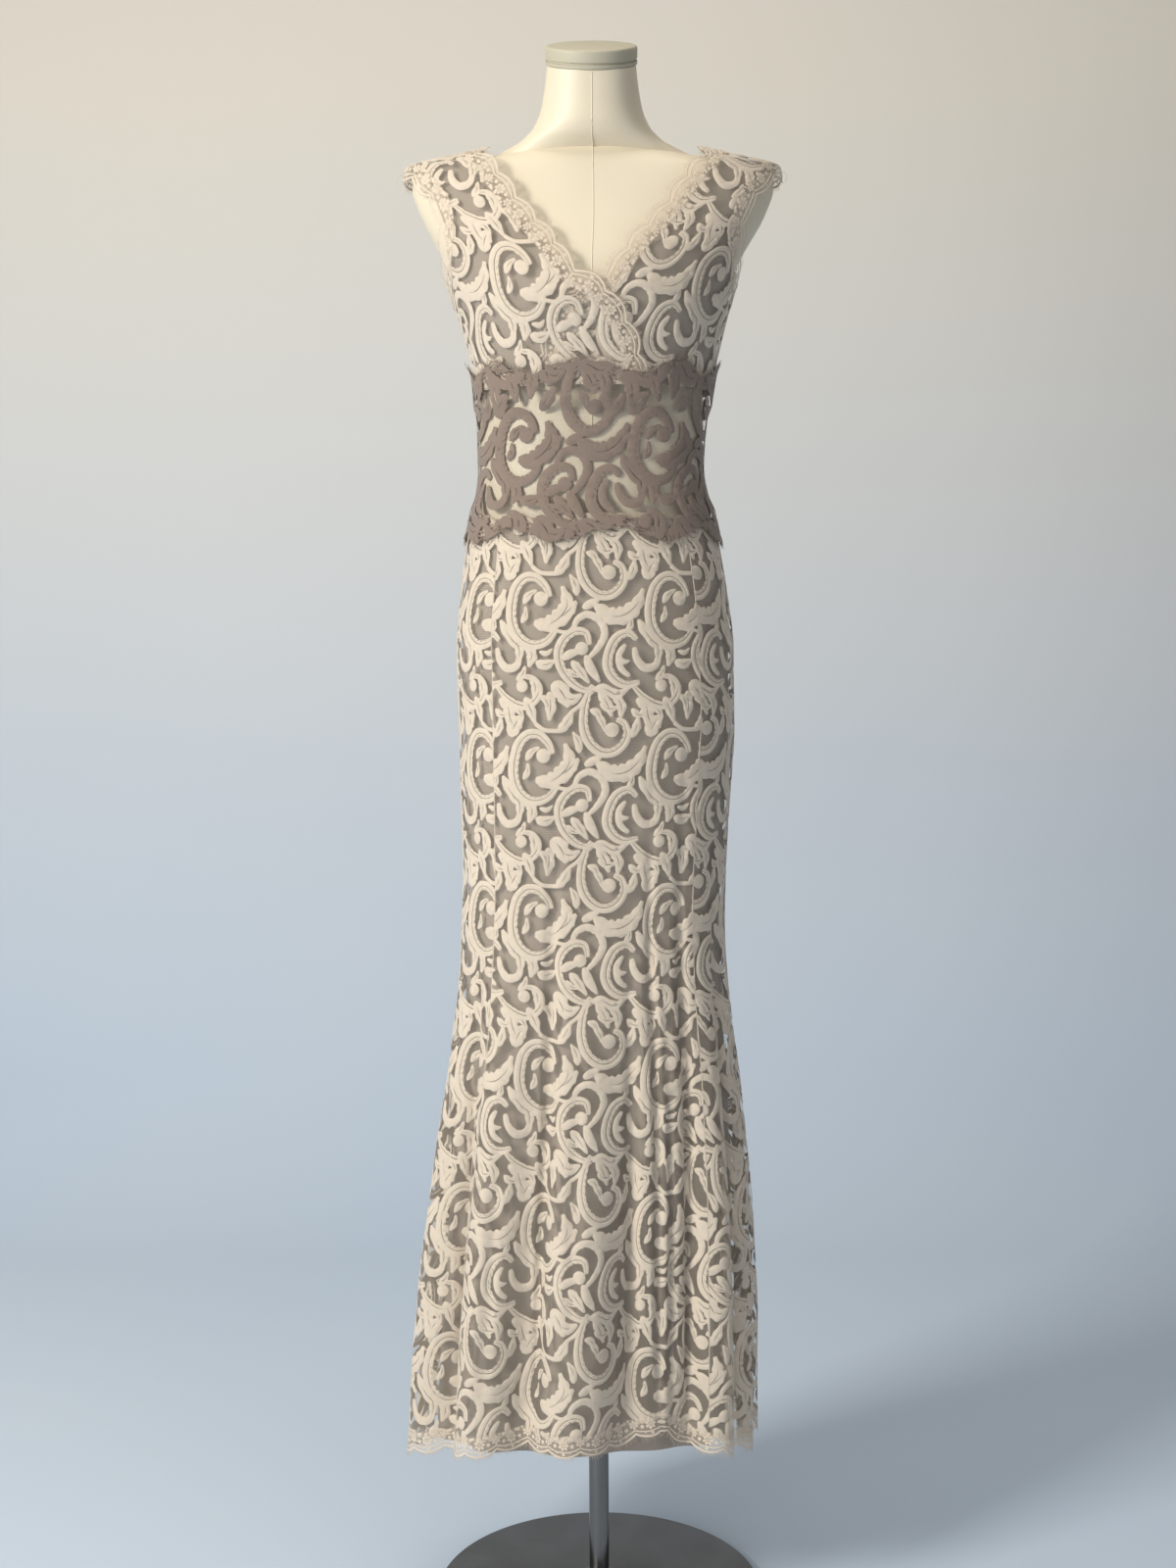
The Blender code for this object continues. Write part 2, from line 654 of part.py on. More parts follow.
def make_form():
    """The torso as joined rings, with a socket in its foot for the pole, and the neck's cap."""
    bm = bmesh.new()
    angle = np.arange(FORM_SIDES) * 360.0 / FORM_SIDES
    rings = []
    for z, half, front, back, shift, tilt in NECK:
        x, y = section_point(angle, np.tile([0.0, half, front, back], (FORM_SIDES, 1)))
        lean = math.radians(tilt)
        rings.append(np.column_stack([x, shift + y * math.cos(lean), z + y * math.sin(lean)]))
    for station in FORM_STATIONS:
        row = np.full(FORM_SIDES, station)
        off = -FORM_INSET - SHOULDER_DROP * at_shoulder(row) - HIP_DROP * at_hip(row)
        carries = (angle % 180 == SIDE_SEAM) & (SEAT_START < row) & (row < SEAT_END)
        rings.append(worn(angle, row, np.where(carries, at_lining(angle, row) - SEAT, off)))
    socket = (POLE_RADIUS + TOUCH) / math.cos(math.pi / FORM_SIDES)
    around = np.column_stack([np.sin(np.radians(angle)), -np.cos(np.radians(angle))]) * socket
    rings.append(np.column_stack([rings[-1][:, :2] * FORM_FOOT_SHRINK, np.full(FORM_SIDES, FORM_FOOT)]))
    rings += [np.column_stack([around, np.full(FORM_SIDES, z)]) for z in (FORM_FOOT, POLE_TOP + TOUCH)]
    rings = [[bm.verts.new(spot) for spot in ring] for ring in rings]
    for upper, lower in zip(rings, rings[1:]):
        for i in range(FORM_SIDES):
            k = (i + 1) % FORM_SIDES
            bm.faces.new((upper[i], lower[i], lower[k], upper[k]))
    bm.faces.new(rings[0])
    bm.faces.new(rings[-1])
    bmesh.ops.recalc_face_normals(bm, faces=bm.faces)
    finish("form_torso", bm, "form")

    cap = turned("form_neck_cap", [
        (0, CAP_THICK), (CAP_RADIUS - 0.004, CAP_THICK), (CAP_RADIUS, CAP_THICK - 0.004),
        (CAP_RADIUS, 0.001), (CAP_RADIUS - 0.001, 0), (0, 0),
    ], "form", 24)
    spot = Matrix.Translation((0, NECK[0, 4], NECK[0, 0]))
    cap.data.transform(spot @ Matrix.Rotation(CAP_TILT, 4, "X") @ Matrix.Translation((0, 0, TOUCH)))


def edging(name, path, off, side=1):
    """A scalloped edging beyond a panel's edge. path is where the scallops spring from, four
    points to each, with the cloth on its left."""
    near = beside(path[::2], EDGING_WIDE - EDGING_GAP)
    far = beside(path, -scallops(len(path)))
    outline = joined(near, far[::-1])
    outline = counter_clockwise(mirrored(outline) if side < 0 else outline)
    return panel(name, outline, off, "edging", thick=EDGING_THICK)


def half_outline(neck, arm, seam, centre):
    """A bodice piece on the wearer's left: from the centre along the neckline, down the shoulder
    seam, the armhole and the side seam, and back along the waist to the centre's angle."""
    shoulder = straight((seam, neck[-1][1]), (seam, arm[0][1]), 0.03)
    side = straight((seam, arm[-1][1]), (seam, BODICE_FOOT), 0.03)
    low, high = min(seam, centre), max(seam, centre)
    waist = [(a, BODICE_FOOT) for a in np.arange(-8, 16) * FITTED_STEP if low + 3 < a < high - 3]
    waist = waist[::-1] if centre < seam else waist
    back_up = straight((centre, BODICE_FOOT), neck[0], 0.04) if centre > seam else [(centre, BODICE_FOOT)]
    return joined(neck, shoulder, arm, side, waist, back_up)


def make_bodice():
    """Two fronts that lap over each other, two backs, a lining and the scalloped edgings."""
    back_neck = NECK_BACK[:-1] + [(180 - RIM, NECK_BACK[-1][1])]
    front_hole = smooth_line(ARMHOLE_FRONT)
    back_hole = [(180 - a, s) for a, s in front_hole[::-1]]
    hole = front_hole[:-1] + back_hole[:-1]
    arm = beside(hole[::2], -EDGING_WIDE, closed=True)
    for side, name, wrap, off in (
        (-1, "right", WRAP_OVER, at_overlap), (1, "left", WRAP_UNDER, at_lace),
    ):
        path = smooth_line(back_neck[::-1] + NECK_FRONT[1:] + wrap[1:])
        neck = beside(path[::2], EDGING_WIDE)
        front, back = bodice_halves(neck, arm)
        far = beside(hole, scallops(len(hole)), closed=True)
        near = beside(hole[::2], EDGING_GAP - EDGING_WIDE, closed=True)
        if side < 0:
            front, back, far, near = mirrored(front), mirrored(back), mirrored(far), mirrored(near)
        front, back = counter_clockwise(front), counter_clockwise(back)
        far, near = counter_clockwise(far), counter_clockwise(near)
        panel(f"bodice_front_{name}", front, off, gaps=lace_gaps(front, 40 * side, BODICE_ORIGIN, 0.006))
        panel(f"bodice_back_{name}", back, at_lace, gaps=lace_gaps(back, 135 * side, BODICE_ORIGIN, 0.006))
        edging(f"neck_edging_{name}", path, off, side)
        panel(f"armhole_edging_{name}", near, at_lace, "edging", [far], thick=EDGING_THICK)
    make_bodice_lining(back_neck, hole)


def bodice_halves(neck, arm, centre=None):
    """The front's and the back's outlines from one neckline, centre back to waist, and one armhole."""
    front_seam, back_seam = SIDE_SEAM - RIM, SIDE_SEAM + RIM
    ring = arm + arm[:1]
    front_neck = clipped(clipped(neck, 0, -90, front_seam), 1, 0, BODICE_FOOT)[::-1]
    front_arm = clipped(ring, 0, 0, front_seam)
    back_neck = clipped(neck, 0, back_seam, 180)
    back_arm = clipped(ring, 0, back_seam, 180)[::-1]
    middle = front_neck[0][0] if centre is None else centre
    return (
        half_outline(front_neck, front_arm, front_seam, middle),
        half_outline(back_neck, back_arm, back_seam, back_neck[0][0]),
    )


def make_bodice_lining(back_neck, hole):
    """One front and one back, a little inside the lace's edges."""
    centre_back, centre_front = (180, NECK_BACK[-1][1]), (0, NECK_FRONT[-1][1])
    path = smooth_line([centre_back] + back_neck[-2::-1] + NECK_FRONT[1:-1] + [centre_front])
    neck = clipped(beside(path[::4], LINING_BACK_OFF), 0, 0, 180)
    arm = beside(hole[::2], -LINING_BACK_OFF, closed=True)
    front, back = bodice_halves(neck, arm, 0)
    for name, half, middle in (("front", front, 0), ("back", back, 180)):
        half = [p for p in half if p[0] != middle or p in (half[0], (middle, BODICE_FOOT))]
        other = [(2 * middle - a, s) for a, s in half]
        outline = counter_clockwise(joined(half, other[::-1]))
        panel(f"bodice_lining_{name}", outline, at_lining, "lining", thick=LINING_THICK)


def make_band():
    """The lace band at the waist, unlined, with scalloped edges, closed at the centre back."""
    for name, low, high in (
        ("front", -SIDE_SEAM, SIDE_SEAM), ("back_left", SIDE_SEAM, 180), ("back_right", -180, -SIDE_SEAM),
    ):
        a0, a1 = low + RIM, high - RIM
        count = 4 * round((high - low) / BAND_SCALLOP)
        angle = np.linspace(a0, a1, count + 1)
        out = scallops(count + 1)
        top = list(zip(angle[::-1], BAND_TOP - out[::-1]))
        foot = list(zip(angle, BAND_FOOT + out))
        sides = np.linspace(BAND_TOP, BAND_FOOT, 6)[1:-1]
        outline = top + [(a0, s) for s in sides] + foot + [(a1, s) for s in sides[::-1]]
        gaps = lace_gaps(outline, (low + high) / 2, BAND_ORIGIN, 0.011, BAND_GAPS, BAND_REPEAT, BAND_REPEAT)
        panel(f"waist_band_{name}", outline, at_band, "midriff_lace", gaps)


def gore_outline(a0, a1, start, hem):
    """A gore between two angles, from its top station down to the hem's (angle, station) points."""
    columns = np.arange(24, -17, -1) * FITTED_STEP
    across = [a1] + [a for a in columns if a0 + COLUMN_CLEAR < a < a1 - COLUMN_CLEAR] + [a0]
    lowest = min(hem[0][1], hem[-1][1])
    down = [s for s in ROWS if start + ROW_CLEAR < s < lowest - ROW_CLEAR]
    return [(a, start) for a in across] + [(a0, s) for s in down] + hem + [(a1, s) for s in down[::-1]]


def make_skirt():
    """Lace gores with seams at the sides and the centre back, a lining and the hem's edging."""
    count = 4 * round(360 / HEM_SCALLOP)
    around = -180 + np.arange(count) * 360 / count
    for name, low, high, shift in (
        ("front", -FRONT_SEAM, FRONT_SEAM, GORE_SHIFT),
        ("side_front_left", FRONT_SEAM, SIDE_SEAM, 0), ("side_front_right", -SIDE_SEAM, -FRONT_SEAM, 0),
        ("back_left", SIDE_SEAM, 180, 0), ("back_right", -180, -SIDE_SEAM, 0),
    ):
        a0, a1 = low + RIM, high - RIM
        hem = [a0] + [a for a in around[::2] if a0 + HEM_CLEAR < a < a1 - HEM_CLEAR] + [a1]
        hem = [(a, float(lace_hem(a)) - EDGING_WIDE) for a in hem]
        outline = gore_outline(a0, a1, SKIRT_TOP, hem)
        gaps = lace_gaps(outline, (low + high) / 2, (shift, SKIRT_ORIGIN), 0.010)
        gaps = [gap for gap in gaps if min(s for _, s in gap) > SKIRT_TOP + BAND_OVER_SKIRT]
        panel(f"skirt_{name}", outline, at_lace, gaps=gaps, stretch=FOLD_STRETCH)
    for name, low, high in (("front", -90, 90), ("back", 90, 270)):
        a0, a1 = low + RIM, high - RIM
        hem = [(a, float(lining_hem(a))) for a in np.linspace(a0, a1, LINING_HEM_POINTS)]
        panel(
            f"skirt_lining_{name}", gore_outline(a0, a1, LINING_TOP, hem), at_lining, "lining",
            layer="lining", thick=LINING_THICK, wide_low=LINING_STEP, stretch=FOLD_STRETCH,
        )
    make_hem_edging(around)


def make_hem_edging(around):
    """A closed ring of scallops under the gores."""
    out = scallops(len(around))
    bm = bmesh.new()
    loops = []
    for off in (LACE_OFF, LACE_OFF + EDGING_THICK):
        near = worn(around[::2], lace_hem(around[::2]) - EDGING_WIDE + EDGING_GAP, off)
        far = worn(around, lace_hem(around) + out, off)
        loops.append([[bm.verts.new(spot) for spot in ring] for ring in (near, far)])
    count = len(around)
    for i in range(0, count, 2):
        k, n = i // 2, (i + 2) % count
        for near, far in loops:
            here, ahead = near[k], near[(k + 1) % len(near)]
            bm.faces.new((here, far[i], far[i + 1]))
            bm.faces.new((here, far[i + 1], ahead))
            bm.faces.new((ahead, far[i + 1], far[n]))
        (near_in, far_in), (near_out, far_out) = loops
        ahead = (k + 1) % len(near_in)
        bm.faces.new((near_in[k], near_in[ahead], near_out[ahead], near_out[k]))
        for start, end in ((i, i + 1), (i + 1, n)):
            bm.faces.new((far_in[start], far_in[end], far_out[end], far_out[start]))
    bmesh.ops.recalc_face_normals(bm, faces=bm.faces)
    finish("hem_edging", bm, "edging")


def block(bm, low, high):
    """A box between two corners, added to the bmesh."""
    middle = [(a + b) / 2 for a, b in zip(low, high)]
    size = [b - a for a, b in zip(low, high)]
    made = bmesh.ops.create_cube(bm, size=1)
    bmesh.ops.scale(bm, vec=size, verts=made["verts"])
    bmesh.ops.translate(bm, vec=middle, verts=made["verts"])


def make_zip():
    """The concealed zip's slider at the top of the centre back seam, with its hinged pull tab.

    Drawn lying in the XZ plane with +Y outwards, then laid on the cloth's slope.
    """
    spot, below = worn([180.0, 180.0], [SLIDER_STATION, SLIDER_STATION + 0.03], LACE_OFF + LACE_THICK)
    lean = math.atan2(below[1] - spot[1], spot[2] - below[2])
    place = Matrix.Translation(spot) @ Matrix.Rotation(lean, 4, "X") @ Matrix.Translation((0, SLIDER_LIFT, 0))

    body = bmesh.new()
    half = SLIDER_WIDE / 2
    block(body, (-half, 0, -SLIDER_LONG / 2), (half, SLIDER_THICK, SLIDER_LONG / 2))
    slider = finish("zip_slider", body, "zip")
    arch = bmesh.new()
    bar, reach = BRIDGE_WIDE / 2, BRIDGE_LONG / 2
    profile = [
        (reach, -SLIDER_THICK / 2), (reach, BRIDGE_HIGH - BRIDGE_BAR), (reach - BRIDGE_BAR, BRIDGE_HIGH),
        (BRIDGE_BAR - reach, BRIDGE_HIGH), (-reach, BRIDGE_HIGH - BRIDGE_BAR), (-reach, -SLIDER_THICK / 2),
        (BRIDGE_BAR - reach, -SLIDER_THICK / 2), (BRIDGE_BAR - reach, BRIDGE_HIGH - BRIDGE_BAR),
        (reach - BRIDGE_BAR, BRIDGE_HIGH - BRIDGE_BAR), (reach - BRIDGE_BAR, -SLIDER_THICK / 2),
    ]
    face = arch.faces.new([arch.verts.new((-bar, SLIDER_THICK + y, z)) for z, y in profile])
    pushed = bmesh.ops.extrude_face_region(arch, geom=[face])
    moved = [v for v in pushed["geom"] if isinstance(v, bmesh.types.BMVert)]
    bmesh.ops.translate(arch, vec=(BRIDGE_WIDE, 0, 0), verts=moved)
    bmesh.ops.recalc_face_normals(arch, faces=arch.faces)
    bridge = finish("zip_bridge", arch, "zip")
    bridge.hide_render = True
    bridge.display_type = "WIRE"
    for obj in (slider, bridge):
        obj.data.transform(place)
    union = slider.modifiers.new("bridge", "BOOLEAN")
    union.operation = "UNION"
    union.object = bridge

    eye = -BRIDGE_LONG / 2 - EYE_BELOW
    tab, slim = PULL_WIDE / 2, PULL_WIDE / 2 - PULL_CORNER
    outline = np.array([
        (-tab, PULL_HEAD), (-tab, PULL_CORNER - PULL_LONG), (-slim, -PULL_LONG),
        (slim, -PULL_LONG), (tab, PULL_CORNER - PULL_LONG), (tab, PULL_HEAD),
    ])
    side = BRIDGE_WIDE / 2 + EYE_SIDE
    hole = np.array([(-side, EYE_ABOVE), (-side, eye), (side, eye), (side, EYE_ABOVE)])
    flat = flat_mesh(outline, [hole], np.empty((0, 2)))
    pushed = bmesh.ops.extrude_face_region(flat, geom=flat.faces[:])
    moved = [v for v in pushed["geom"] if isinstance(v, bmesh.types.BMVert)]
    bmesh.ops.translate(flat, vec=(0, 0, PULL_THICK), verts=moved)
    bmesh.ops.translate(flat, vec=(0, 0, -PULL_THICK / 2), verts=flat.verts)
    bmesh.ops.rotate(flat, verts=flat.verts, matrix=Matrix.Rotation(math.pi / 2, 3, "X"))
    bmesh.ops.recalc_face_normals(flat, faces=flat.faces)
    pull = finish("zip_pull", flat, "zip")
    pull.matrix_world = place @ Matrix.Translation((0, SLIDER_THICK + PULL_AXIS, 0))


def main():
    clear_scene()
    make_stand()
    make_form()
    make_bodice()
    make_band()
    make_skirt()
    make_zip()


main()
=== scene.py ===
"""The looks of a lace maxi dress on its dress form: lace, linings, scalloped edgings, form and stand.

Everything is in metres with +Z up. The dress's front faces -Y and +X is the wearer's left. A point of
the cloth is given by its angle round the figure, in degrees from the centre front, and its station,
the metres down the garment from the neck side of the shoulder.
"""

import math

import bmesh
import bpy
import numpy as np
from mathutils import Matrix, Vector
from mathutils.geometry import delaunay_2d_cdt


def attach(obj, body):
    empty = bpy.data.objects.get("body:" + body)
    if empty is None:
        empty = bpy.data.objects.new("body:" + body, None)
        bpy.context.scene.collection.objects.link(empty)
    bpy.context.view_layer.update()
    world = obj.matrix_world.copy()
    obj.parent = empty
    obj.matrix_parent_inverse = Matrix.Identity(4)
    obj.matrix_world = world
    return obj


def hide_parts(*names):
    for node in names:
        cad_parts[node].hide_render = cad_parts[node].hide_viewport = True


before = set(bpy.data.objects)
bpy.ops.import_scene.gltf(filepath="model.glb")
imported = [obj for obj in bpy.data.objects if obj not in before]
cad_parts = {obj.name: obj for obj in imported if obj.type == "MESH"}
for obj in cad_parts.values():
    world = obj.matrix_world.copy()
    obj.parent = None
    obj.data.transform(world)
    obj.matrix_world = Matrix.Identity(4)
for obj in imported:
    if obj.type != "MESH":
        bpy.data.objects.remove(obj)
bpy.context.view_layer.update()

bl_info = {
    "name": "Lace maxi dress",
    "version": (1, 0, 0),
    "blender": (4, 5, 0),
    "location": "View3D > Sidebar > Dress",
    "description": "Makes the lace dress, its linings and edgings, the dress form and its stand",
    "category": "Object",
}

BODY = "dress_and_form"
TAB_BODY = "zip_pull_tab"

# Layers of cloth, as offsets from the worn surface
LACE_BASE = -0.0007
LACE_RELIEF = 0.00032
TRIM_RELIEF = 0.0003
RELIEF_SLOPE = 0.0005
LINING_OFF = -0.0048
LINING_THICK = 0.0010
SHOULDER_DROP = 0.0016
HIP_DROP = 0.0020
FORM_INSET = 0.0088
OVERLAP_LIFT = 0.0036
OVERLAP_REACH = 48.0
OVERLAP_EASE = 24.0
BAND_LIFT = 0.0034
BAND_OVER_BODICE = 0.030
BAND_OVER_SKIRT = 0.024
BAND_SINK = 0.020
# How much fuller the form is inside the unlined band, and over which stations
WAIST_LIFT = 0.0052
WAIST_LIFT_FIRST = 0.355
WAIST_LIFT_LAST = 0.480
WAIST_LIFT_EASE = 0.03
# Half the gap between two pieces at a seam, in degrees
RIM = 0.1

# The flare and the hems
FLARE_TOP = 0.84
HEM_STATION = 1.42
LINING_GROWTH = 0.42
LINING_SLACK = 0.0075
LACE_HEM_SIDE = 0.186
LACE_HEM_FRONT_RISE = 0.048
LACE_HEM_BACK_DROP = 0.010
LINING_HEM_FRONT = 0.216
LINING_HEM_BACK = 0.182
TUCK_ANGLE = 24.0
TUCK_HALF = 14.0
TUCK_RISE = 0.016
FRONT_SEAM = 44.0
SIDE_SEAM = 90.0
SEAM_STEP = 0.008

# The worn surface. station: metres down from the shoulder's neck side, z: height, mid: sideways
# shift, half: half width, front and back: depths from the pole's axis.
WORN = np.array([
    # station, z, mid, half, front, back
    (-0.040, 1.615, 0.000, 0.070, 0.047, 0.0740),
    (0.000, 1.606, 0.001, 0.106, 0.051, 0.0765),
    (0.050, 1.597, 0.001, 0.152, 0.058, 0.0790),
    (0.105, 1.583, 0.001, 0.202, 0.067, 0.083),
    (0.135, 1.560, 0.001, 0.204, 0.078, 0.089),
    (0.165, 1.530, 0.001, 0.193, 0.090, 0.093),
    (0.195, 1.500, 0.000, 0.176, 0.103, 0.096),
    (0.225, 1.470, -0.001, 0.1605, 0.115, 0.097),
    (0.255, 1.440, 0.000, 0.1500, 0.119, 0.095),
    (0.295, 1.400, 0.001, 0.1385, 0.109, 0.090),
    (0.340, 1.355, 0.000, 0.1285, 0.095, 0.085),
    (0.390, 1.305, -0.002, 0.1245, 0.088, 0.081),
    (0.430, 1.265, -0.003, 0.1232, 0.087, 0.082),
    (0.470, 1.225, -0.002, 0.1295, 0.090, 0.088),
    (0.515, 1.180, -0.001, 0.1385, 0.096, 0.099),
    (0.565, 1.130, 0.000, 0.1460, 0.102, 0.111),
    (0.625, 1.070, 0.001, 0.1515, 0.106, 0.119),
    (0.695, 1.000, 0.002, 0.1515, 0.107, 0.118),
    (0.795, 0.900, 0.000, 0.1480, 0.106, 0.110),
    (0.875, 0.820, -0.002, 0.1455, 0.105, 0.105),
    (0.965, 0.730, -0.003, 0.1470, 0.108, 0.108),
    (1.055, 0.640, -0.003, 0.1530, 0.113, 0.116),
    (1.165, 0.530, -0.005, 0.1600, 0.118, 0.127),
    (1.325, 0.370, -0.010, 0.1660, 0.126, 0.142),
    (1.535, 0.160, -0.016, 0.1720, 0.134, 0.158),
])
SQUARE = 2.30
FLUTES = np.array([
    # angle, half width in degrees, out at the hem, overhang at the hem
    (-72.0, 17.5, 0.033, 0.0045),
    (-37.0, 17.5, 0.034, 0.0045),
    (-4.0, 15.5, 0.034, 0.0045),
    (24.0, 12.5, 0.007, 0.000),
    (49.5, 13.0, 0.030, 0.0040),
    (74.5, 12.0, 0.021, 0.0030),
    (101.0, 14.5, 0.030, 0.0040),
    (131.0, 15.5, 0.033, 0.0040),
    (162.0, 15.5, 0.031, 0.0040),
    (194.0, 16.5, 0.033, 0.0040),
    (225.5, 15.0, 0.030, 0.0040),
    (255.5, 15.0, 0.028, 0.0040),
])

# Soft creases, listed one by one: where each starts and ends, how deep, how wide, and how it leans
CREASES = np.array([
    # angle, start, end, depth, half width, lean in degrees a metre
    (-15.0, 0.72, 1.42, 0.0100, 2.5, 1),
    (11.5, 0.84, 1.42, 0.0085, 2.1, 2),
    (20.0, 0.70, 1.42, 0.0080, 1.9, 5),
    (27.0, 0.90, 1.42, 0.0065, 1.8, 4),
    (35.5, 0.68, 1.42, 0.0100, 2.3, 4),
    (-54.0, 0.84, 1.42, 0.0090, 2.9, -2),
    (-60.0, 0.62, 0.98, 0.0016, 4.0, 0),
    (-5.0, 0.95, 1.34, 0.0045, 1.9, 2),
    (-33.0, 0.98, 1.42, 0.0050, 2.0, -2),
    (61.0, 0.74, 1.42, 0.0090, 2.7, 4),
    (84.0, 0.80, 1.40, 0.0060, 4.4, -3),
    (117.0, 0.72, 1.42, 0.0095, 2.8, 3),
    (145.0, 0.84, 1.42, 0.0080, 2.4, -4),
    (177.0, 0.78, 1.42, 0.0085, 2.6, 2),
    (-180.0, 0.40, 0.62, 0.0010, 4.0, 0),
    (208.0, 0.86, 1.42, 0.0085, 2.5, 5),
    (239.0, 0.74, 1.42, 0.0095, 2.7, -2),
    (270.0, 0.82, 1.40, 0.0065, 4.6, 3),
    (62.0, 0.215, 0.330, 0.0012, 5.0, -40),
    (-63.0, 0.205, 0.330, 0.0012, 5.0, 36),
    (78.0, 0.240, 0.335, 0.0014, 4.0, -20),
    (-79.0, 0.240, 0.335, 0.0014, 4.0, 22),
    (28.0, 0.255, 0.335, 0.0009, 4.0, -30),
    (-30.0, 0.260, 0.335, 0.0009, 4.0, 30),
    (122.0, 0.180, 0.320, 0.0014, 5.0, 20),
    (-124.0, 0.180, 0.320, 0.0014, 5.0, -20),
    (150.0, 0.230, 0.330, 0.0011, 4.4, -10),
    (-152.0, 0.220, 0.330, 0.0011, 4.4, 12),
])
# The length over which a crease deepens and over which it runs out, and the cloth's faint unevenness
CREASE_RISE = 0.45
CREASE_FALL = 0.12
WAVER = 0.0006

# The form's neck: rings above the shoulders. tilt leans a ring's front down, in degrees.
NECK = np.array([
    # z, half, front, back, shift along y, tilt
    (1.688, 0.0470, 0.0465, 0.0465, -0.024, 22),
    (1.666, 0.0498, 0.0500, 0.0500, -0.017, 15),
    (1.643, 0.0545, 0.0550, 0.0560, -0.009, 8),
    (1.622, 0.0650, 0.0590, 0.0640, -0.003, 3),
    (1.608, 0.0810, 0.0560, 0.0690, 0.000, 0),
])
CAP_TILT = math.radians(22)
CAP_RADIUS = 0.0485
CAP_THICK = 0.019

# The form's raised shoulder seams, and its rounded foot inside the skirt: the last ring's station, and
# the rings below it as how much narrower and how much lower they are
SHOULDER_SEAM_LIFT = 0.0027
SHOULDER_SEAM_HALF = 9.0
FORM_FOOT = 0.713
FORM_FOOT_RINGS = ((0.97, 0.012), (0.90, 0.020), (0.75, 0.024))

# The stand: the base's thickness, the pole's foot, where the pole ends in the form, and the sliver of air
# that keeps turned pieces apart
BASE_THICK = 0.010
FOOT_RADIUS = 0.026
FOOT_HIGH = 0.009
POLE_TOP = 0.975
CLEAR = 0.0003

# Bodice edges on the wearer's left, as (angle, station). The right side mirrors them.
NECK_FRONT = [
    (90, 0.018), (60, 0.030), (38, 0.078), (26, 0.126), (18.5, 0.169), (10, 0.209), (5, 0.236), (-1, 0.249),
]
NECK_BACK = [(90, 0.018), (114, 0.034), (136, 0.072), (156, 0.104), (180, 0.118)]
WRAP_OVER = [(-1, 0.249), (-4, 0.259), (-9, 0.278), (-14, 0.301), (-19, 0.330), (-21, 0.352)]
WRAP_UNDER = [(-1, 0.249), (-8, 0.263), (-16, 0.293), (-22, 0.327), (-24, 0.352)]
ARMHOLE_FRONT = [
    (90, 0.114), (72, 0.121), (60, 0.140), (55, 0.164), (60, 0.190), (72, 0.218), (81, 0.236), (90, 0.244),
]
# The edgings: how wide they are, how far the lace runs on under them, and how much they lie above it
EDGING_WIDE = 0.019
EDGING_OVERLAP = 0.008
EDGING_LIFT = 0.0006
SCALLOP = 0.036
SCALLOP_DEEP = 0.006
# How far the lining's neck and armholes lie inside the edgings' rims
LINING_BACK_OFF = 0.010

# The waist band's edges: their long waves, and the trim of small scallops along them
BAND_WAVE = 45.0
BAND_CREST = -5.0
BAND_WAVE_DEEP = 0.014
BAND_TRIM = 0.030
BAND_TRIM_HIGH = 0.62
BAND_SCALLOP_DEEP = 0.0035
# The band's clothwork leaves out the repeat's last shapes, and is a little broader than the dress's
BAND_LEFT_OUT = 12
BAND_BROADER = 0.0007

# Flat drawing of the lace, in metres: where its repeat starts on each piece
REPEAT_WIDE = 0.148
REPEAT_TALL = 0.164
BODICE_ORIGIN = (0.0, 0.03)
BAND_ORIGIN = (-0.109, 0.360)
SKIRT_ORIGIN = 0.039
GORE_SHIFT = -0.0957
MM = 0.001
# In millimetres: the slits along scrolls and leaves, the lobes of the scrolls' inner sides, and the
# dashes along the widest scrolls. The FULL values scale the widths that the tables give.
SLIT = 0.9
SCROLL_STEP = 2.8
LEAF_STEP = 3.2
LOBE_LONG = 7.5
LOBE_DEEP = 0.30
DASHED_FROM = 12.5
DASH_POINTS = 3
DASH_WIDE = 0.7
SCROLL_FULL = 0.82
CURL_FULL = 0.78
LEAF_FULL = 1.14
# In metres: the meshes' steps, which the grid multiplies across and up, and the longest shape whose relief
# rises to one middle point
LACE_STEP = 0.008
BAND_STEP = 0.006
EDGING_STEP = 0.004
LINING_STEP = 0.009
GRID_ACROSS = 0.4
GRID_UP = 2.0
SMALL_SHAPE = 0.0052

# The lace's scrolls: the line that each follows in millimetres of the repeat, its widest, and
# whether a slit runs along it
SCROLLS = [
    ([(49, 127), (44, 138), (34, 147), (22, 147), (12, 137), (7, 121), (6, 105), (10, 91), (19, 81),
      (31, 77), (44, 81), (54, 92)], 15.0, True),
    ([(92, 199), (86, 187), (82, 171), (82, 154), (88, 139), (100, 129), (113, 129), (123, 137),
      (127, 148), (124, 159), (116, 163)], 13.5, True),
    ([(89, 77), (86, 89), (75, 91), (64, 84), (57, 71), (58, 56), (66, 42), (78, 32), (93, 28)], 13.0, True),
    ([(72, 90), (77, 103), (89, 108), (101, 101), (105, 88), (98, 74), (88, 63)], 10.5, False),
    ([(139, 82), (130, 89), (118, 84), (110, 70), (108, 54), (115, 41), (127, 35), (141, 38)], 14.0, True),
    ([(127, 77), (120, 66), (122, 52), (131, 44)], 9.5, False),
    ([(136, 74), (139, 61), (147, 53), (158, 55), (163, 67)], 11.5, False),
    ([(133, 35), (147, 21), (165, 13), (179, 20), (183, 32), (176, 42), (166, 44)], 11.0, True),
]
CURLS = [(39, 125, 10.0), (111, 152, 10.0), (81, 73, 9.0), (164, 34, 8.5)]

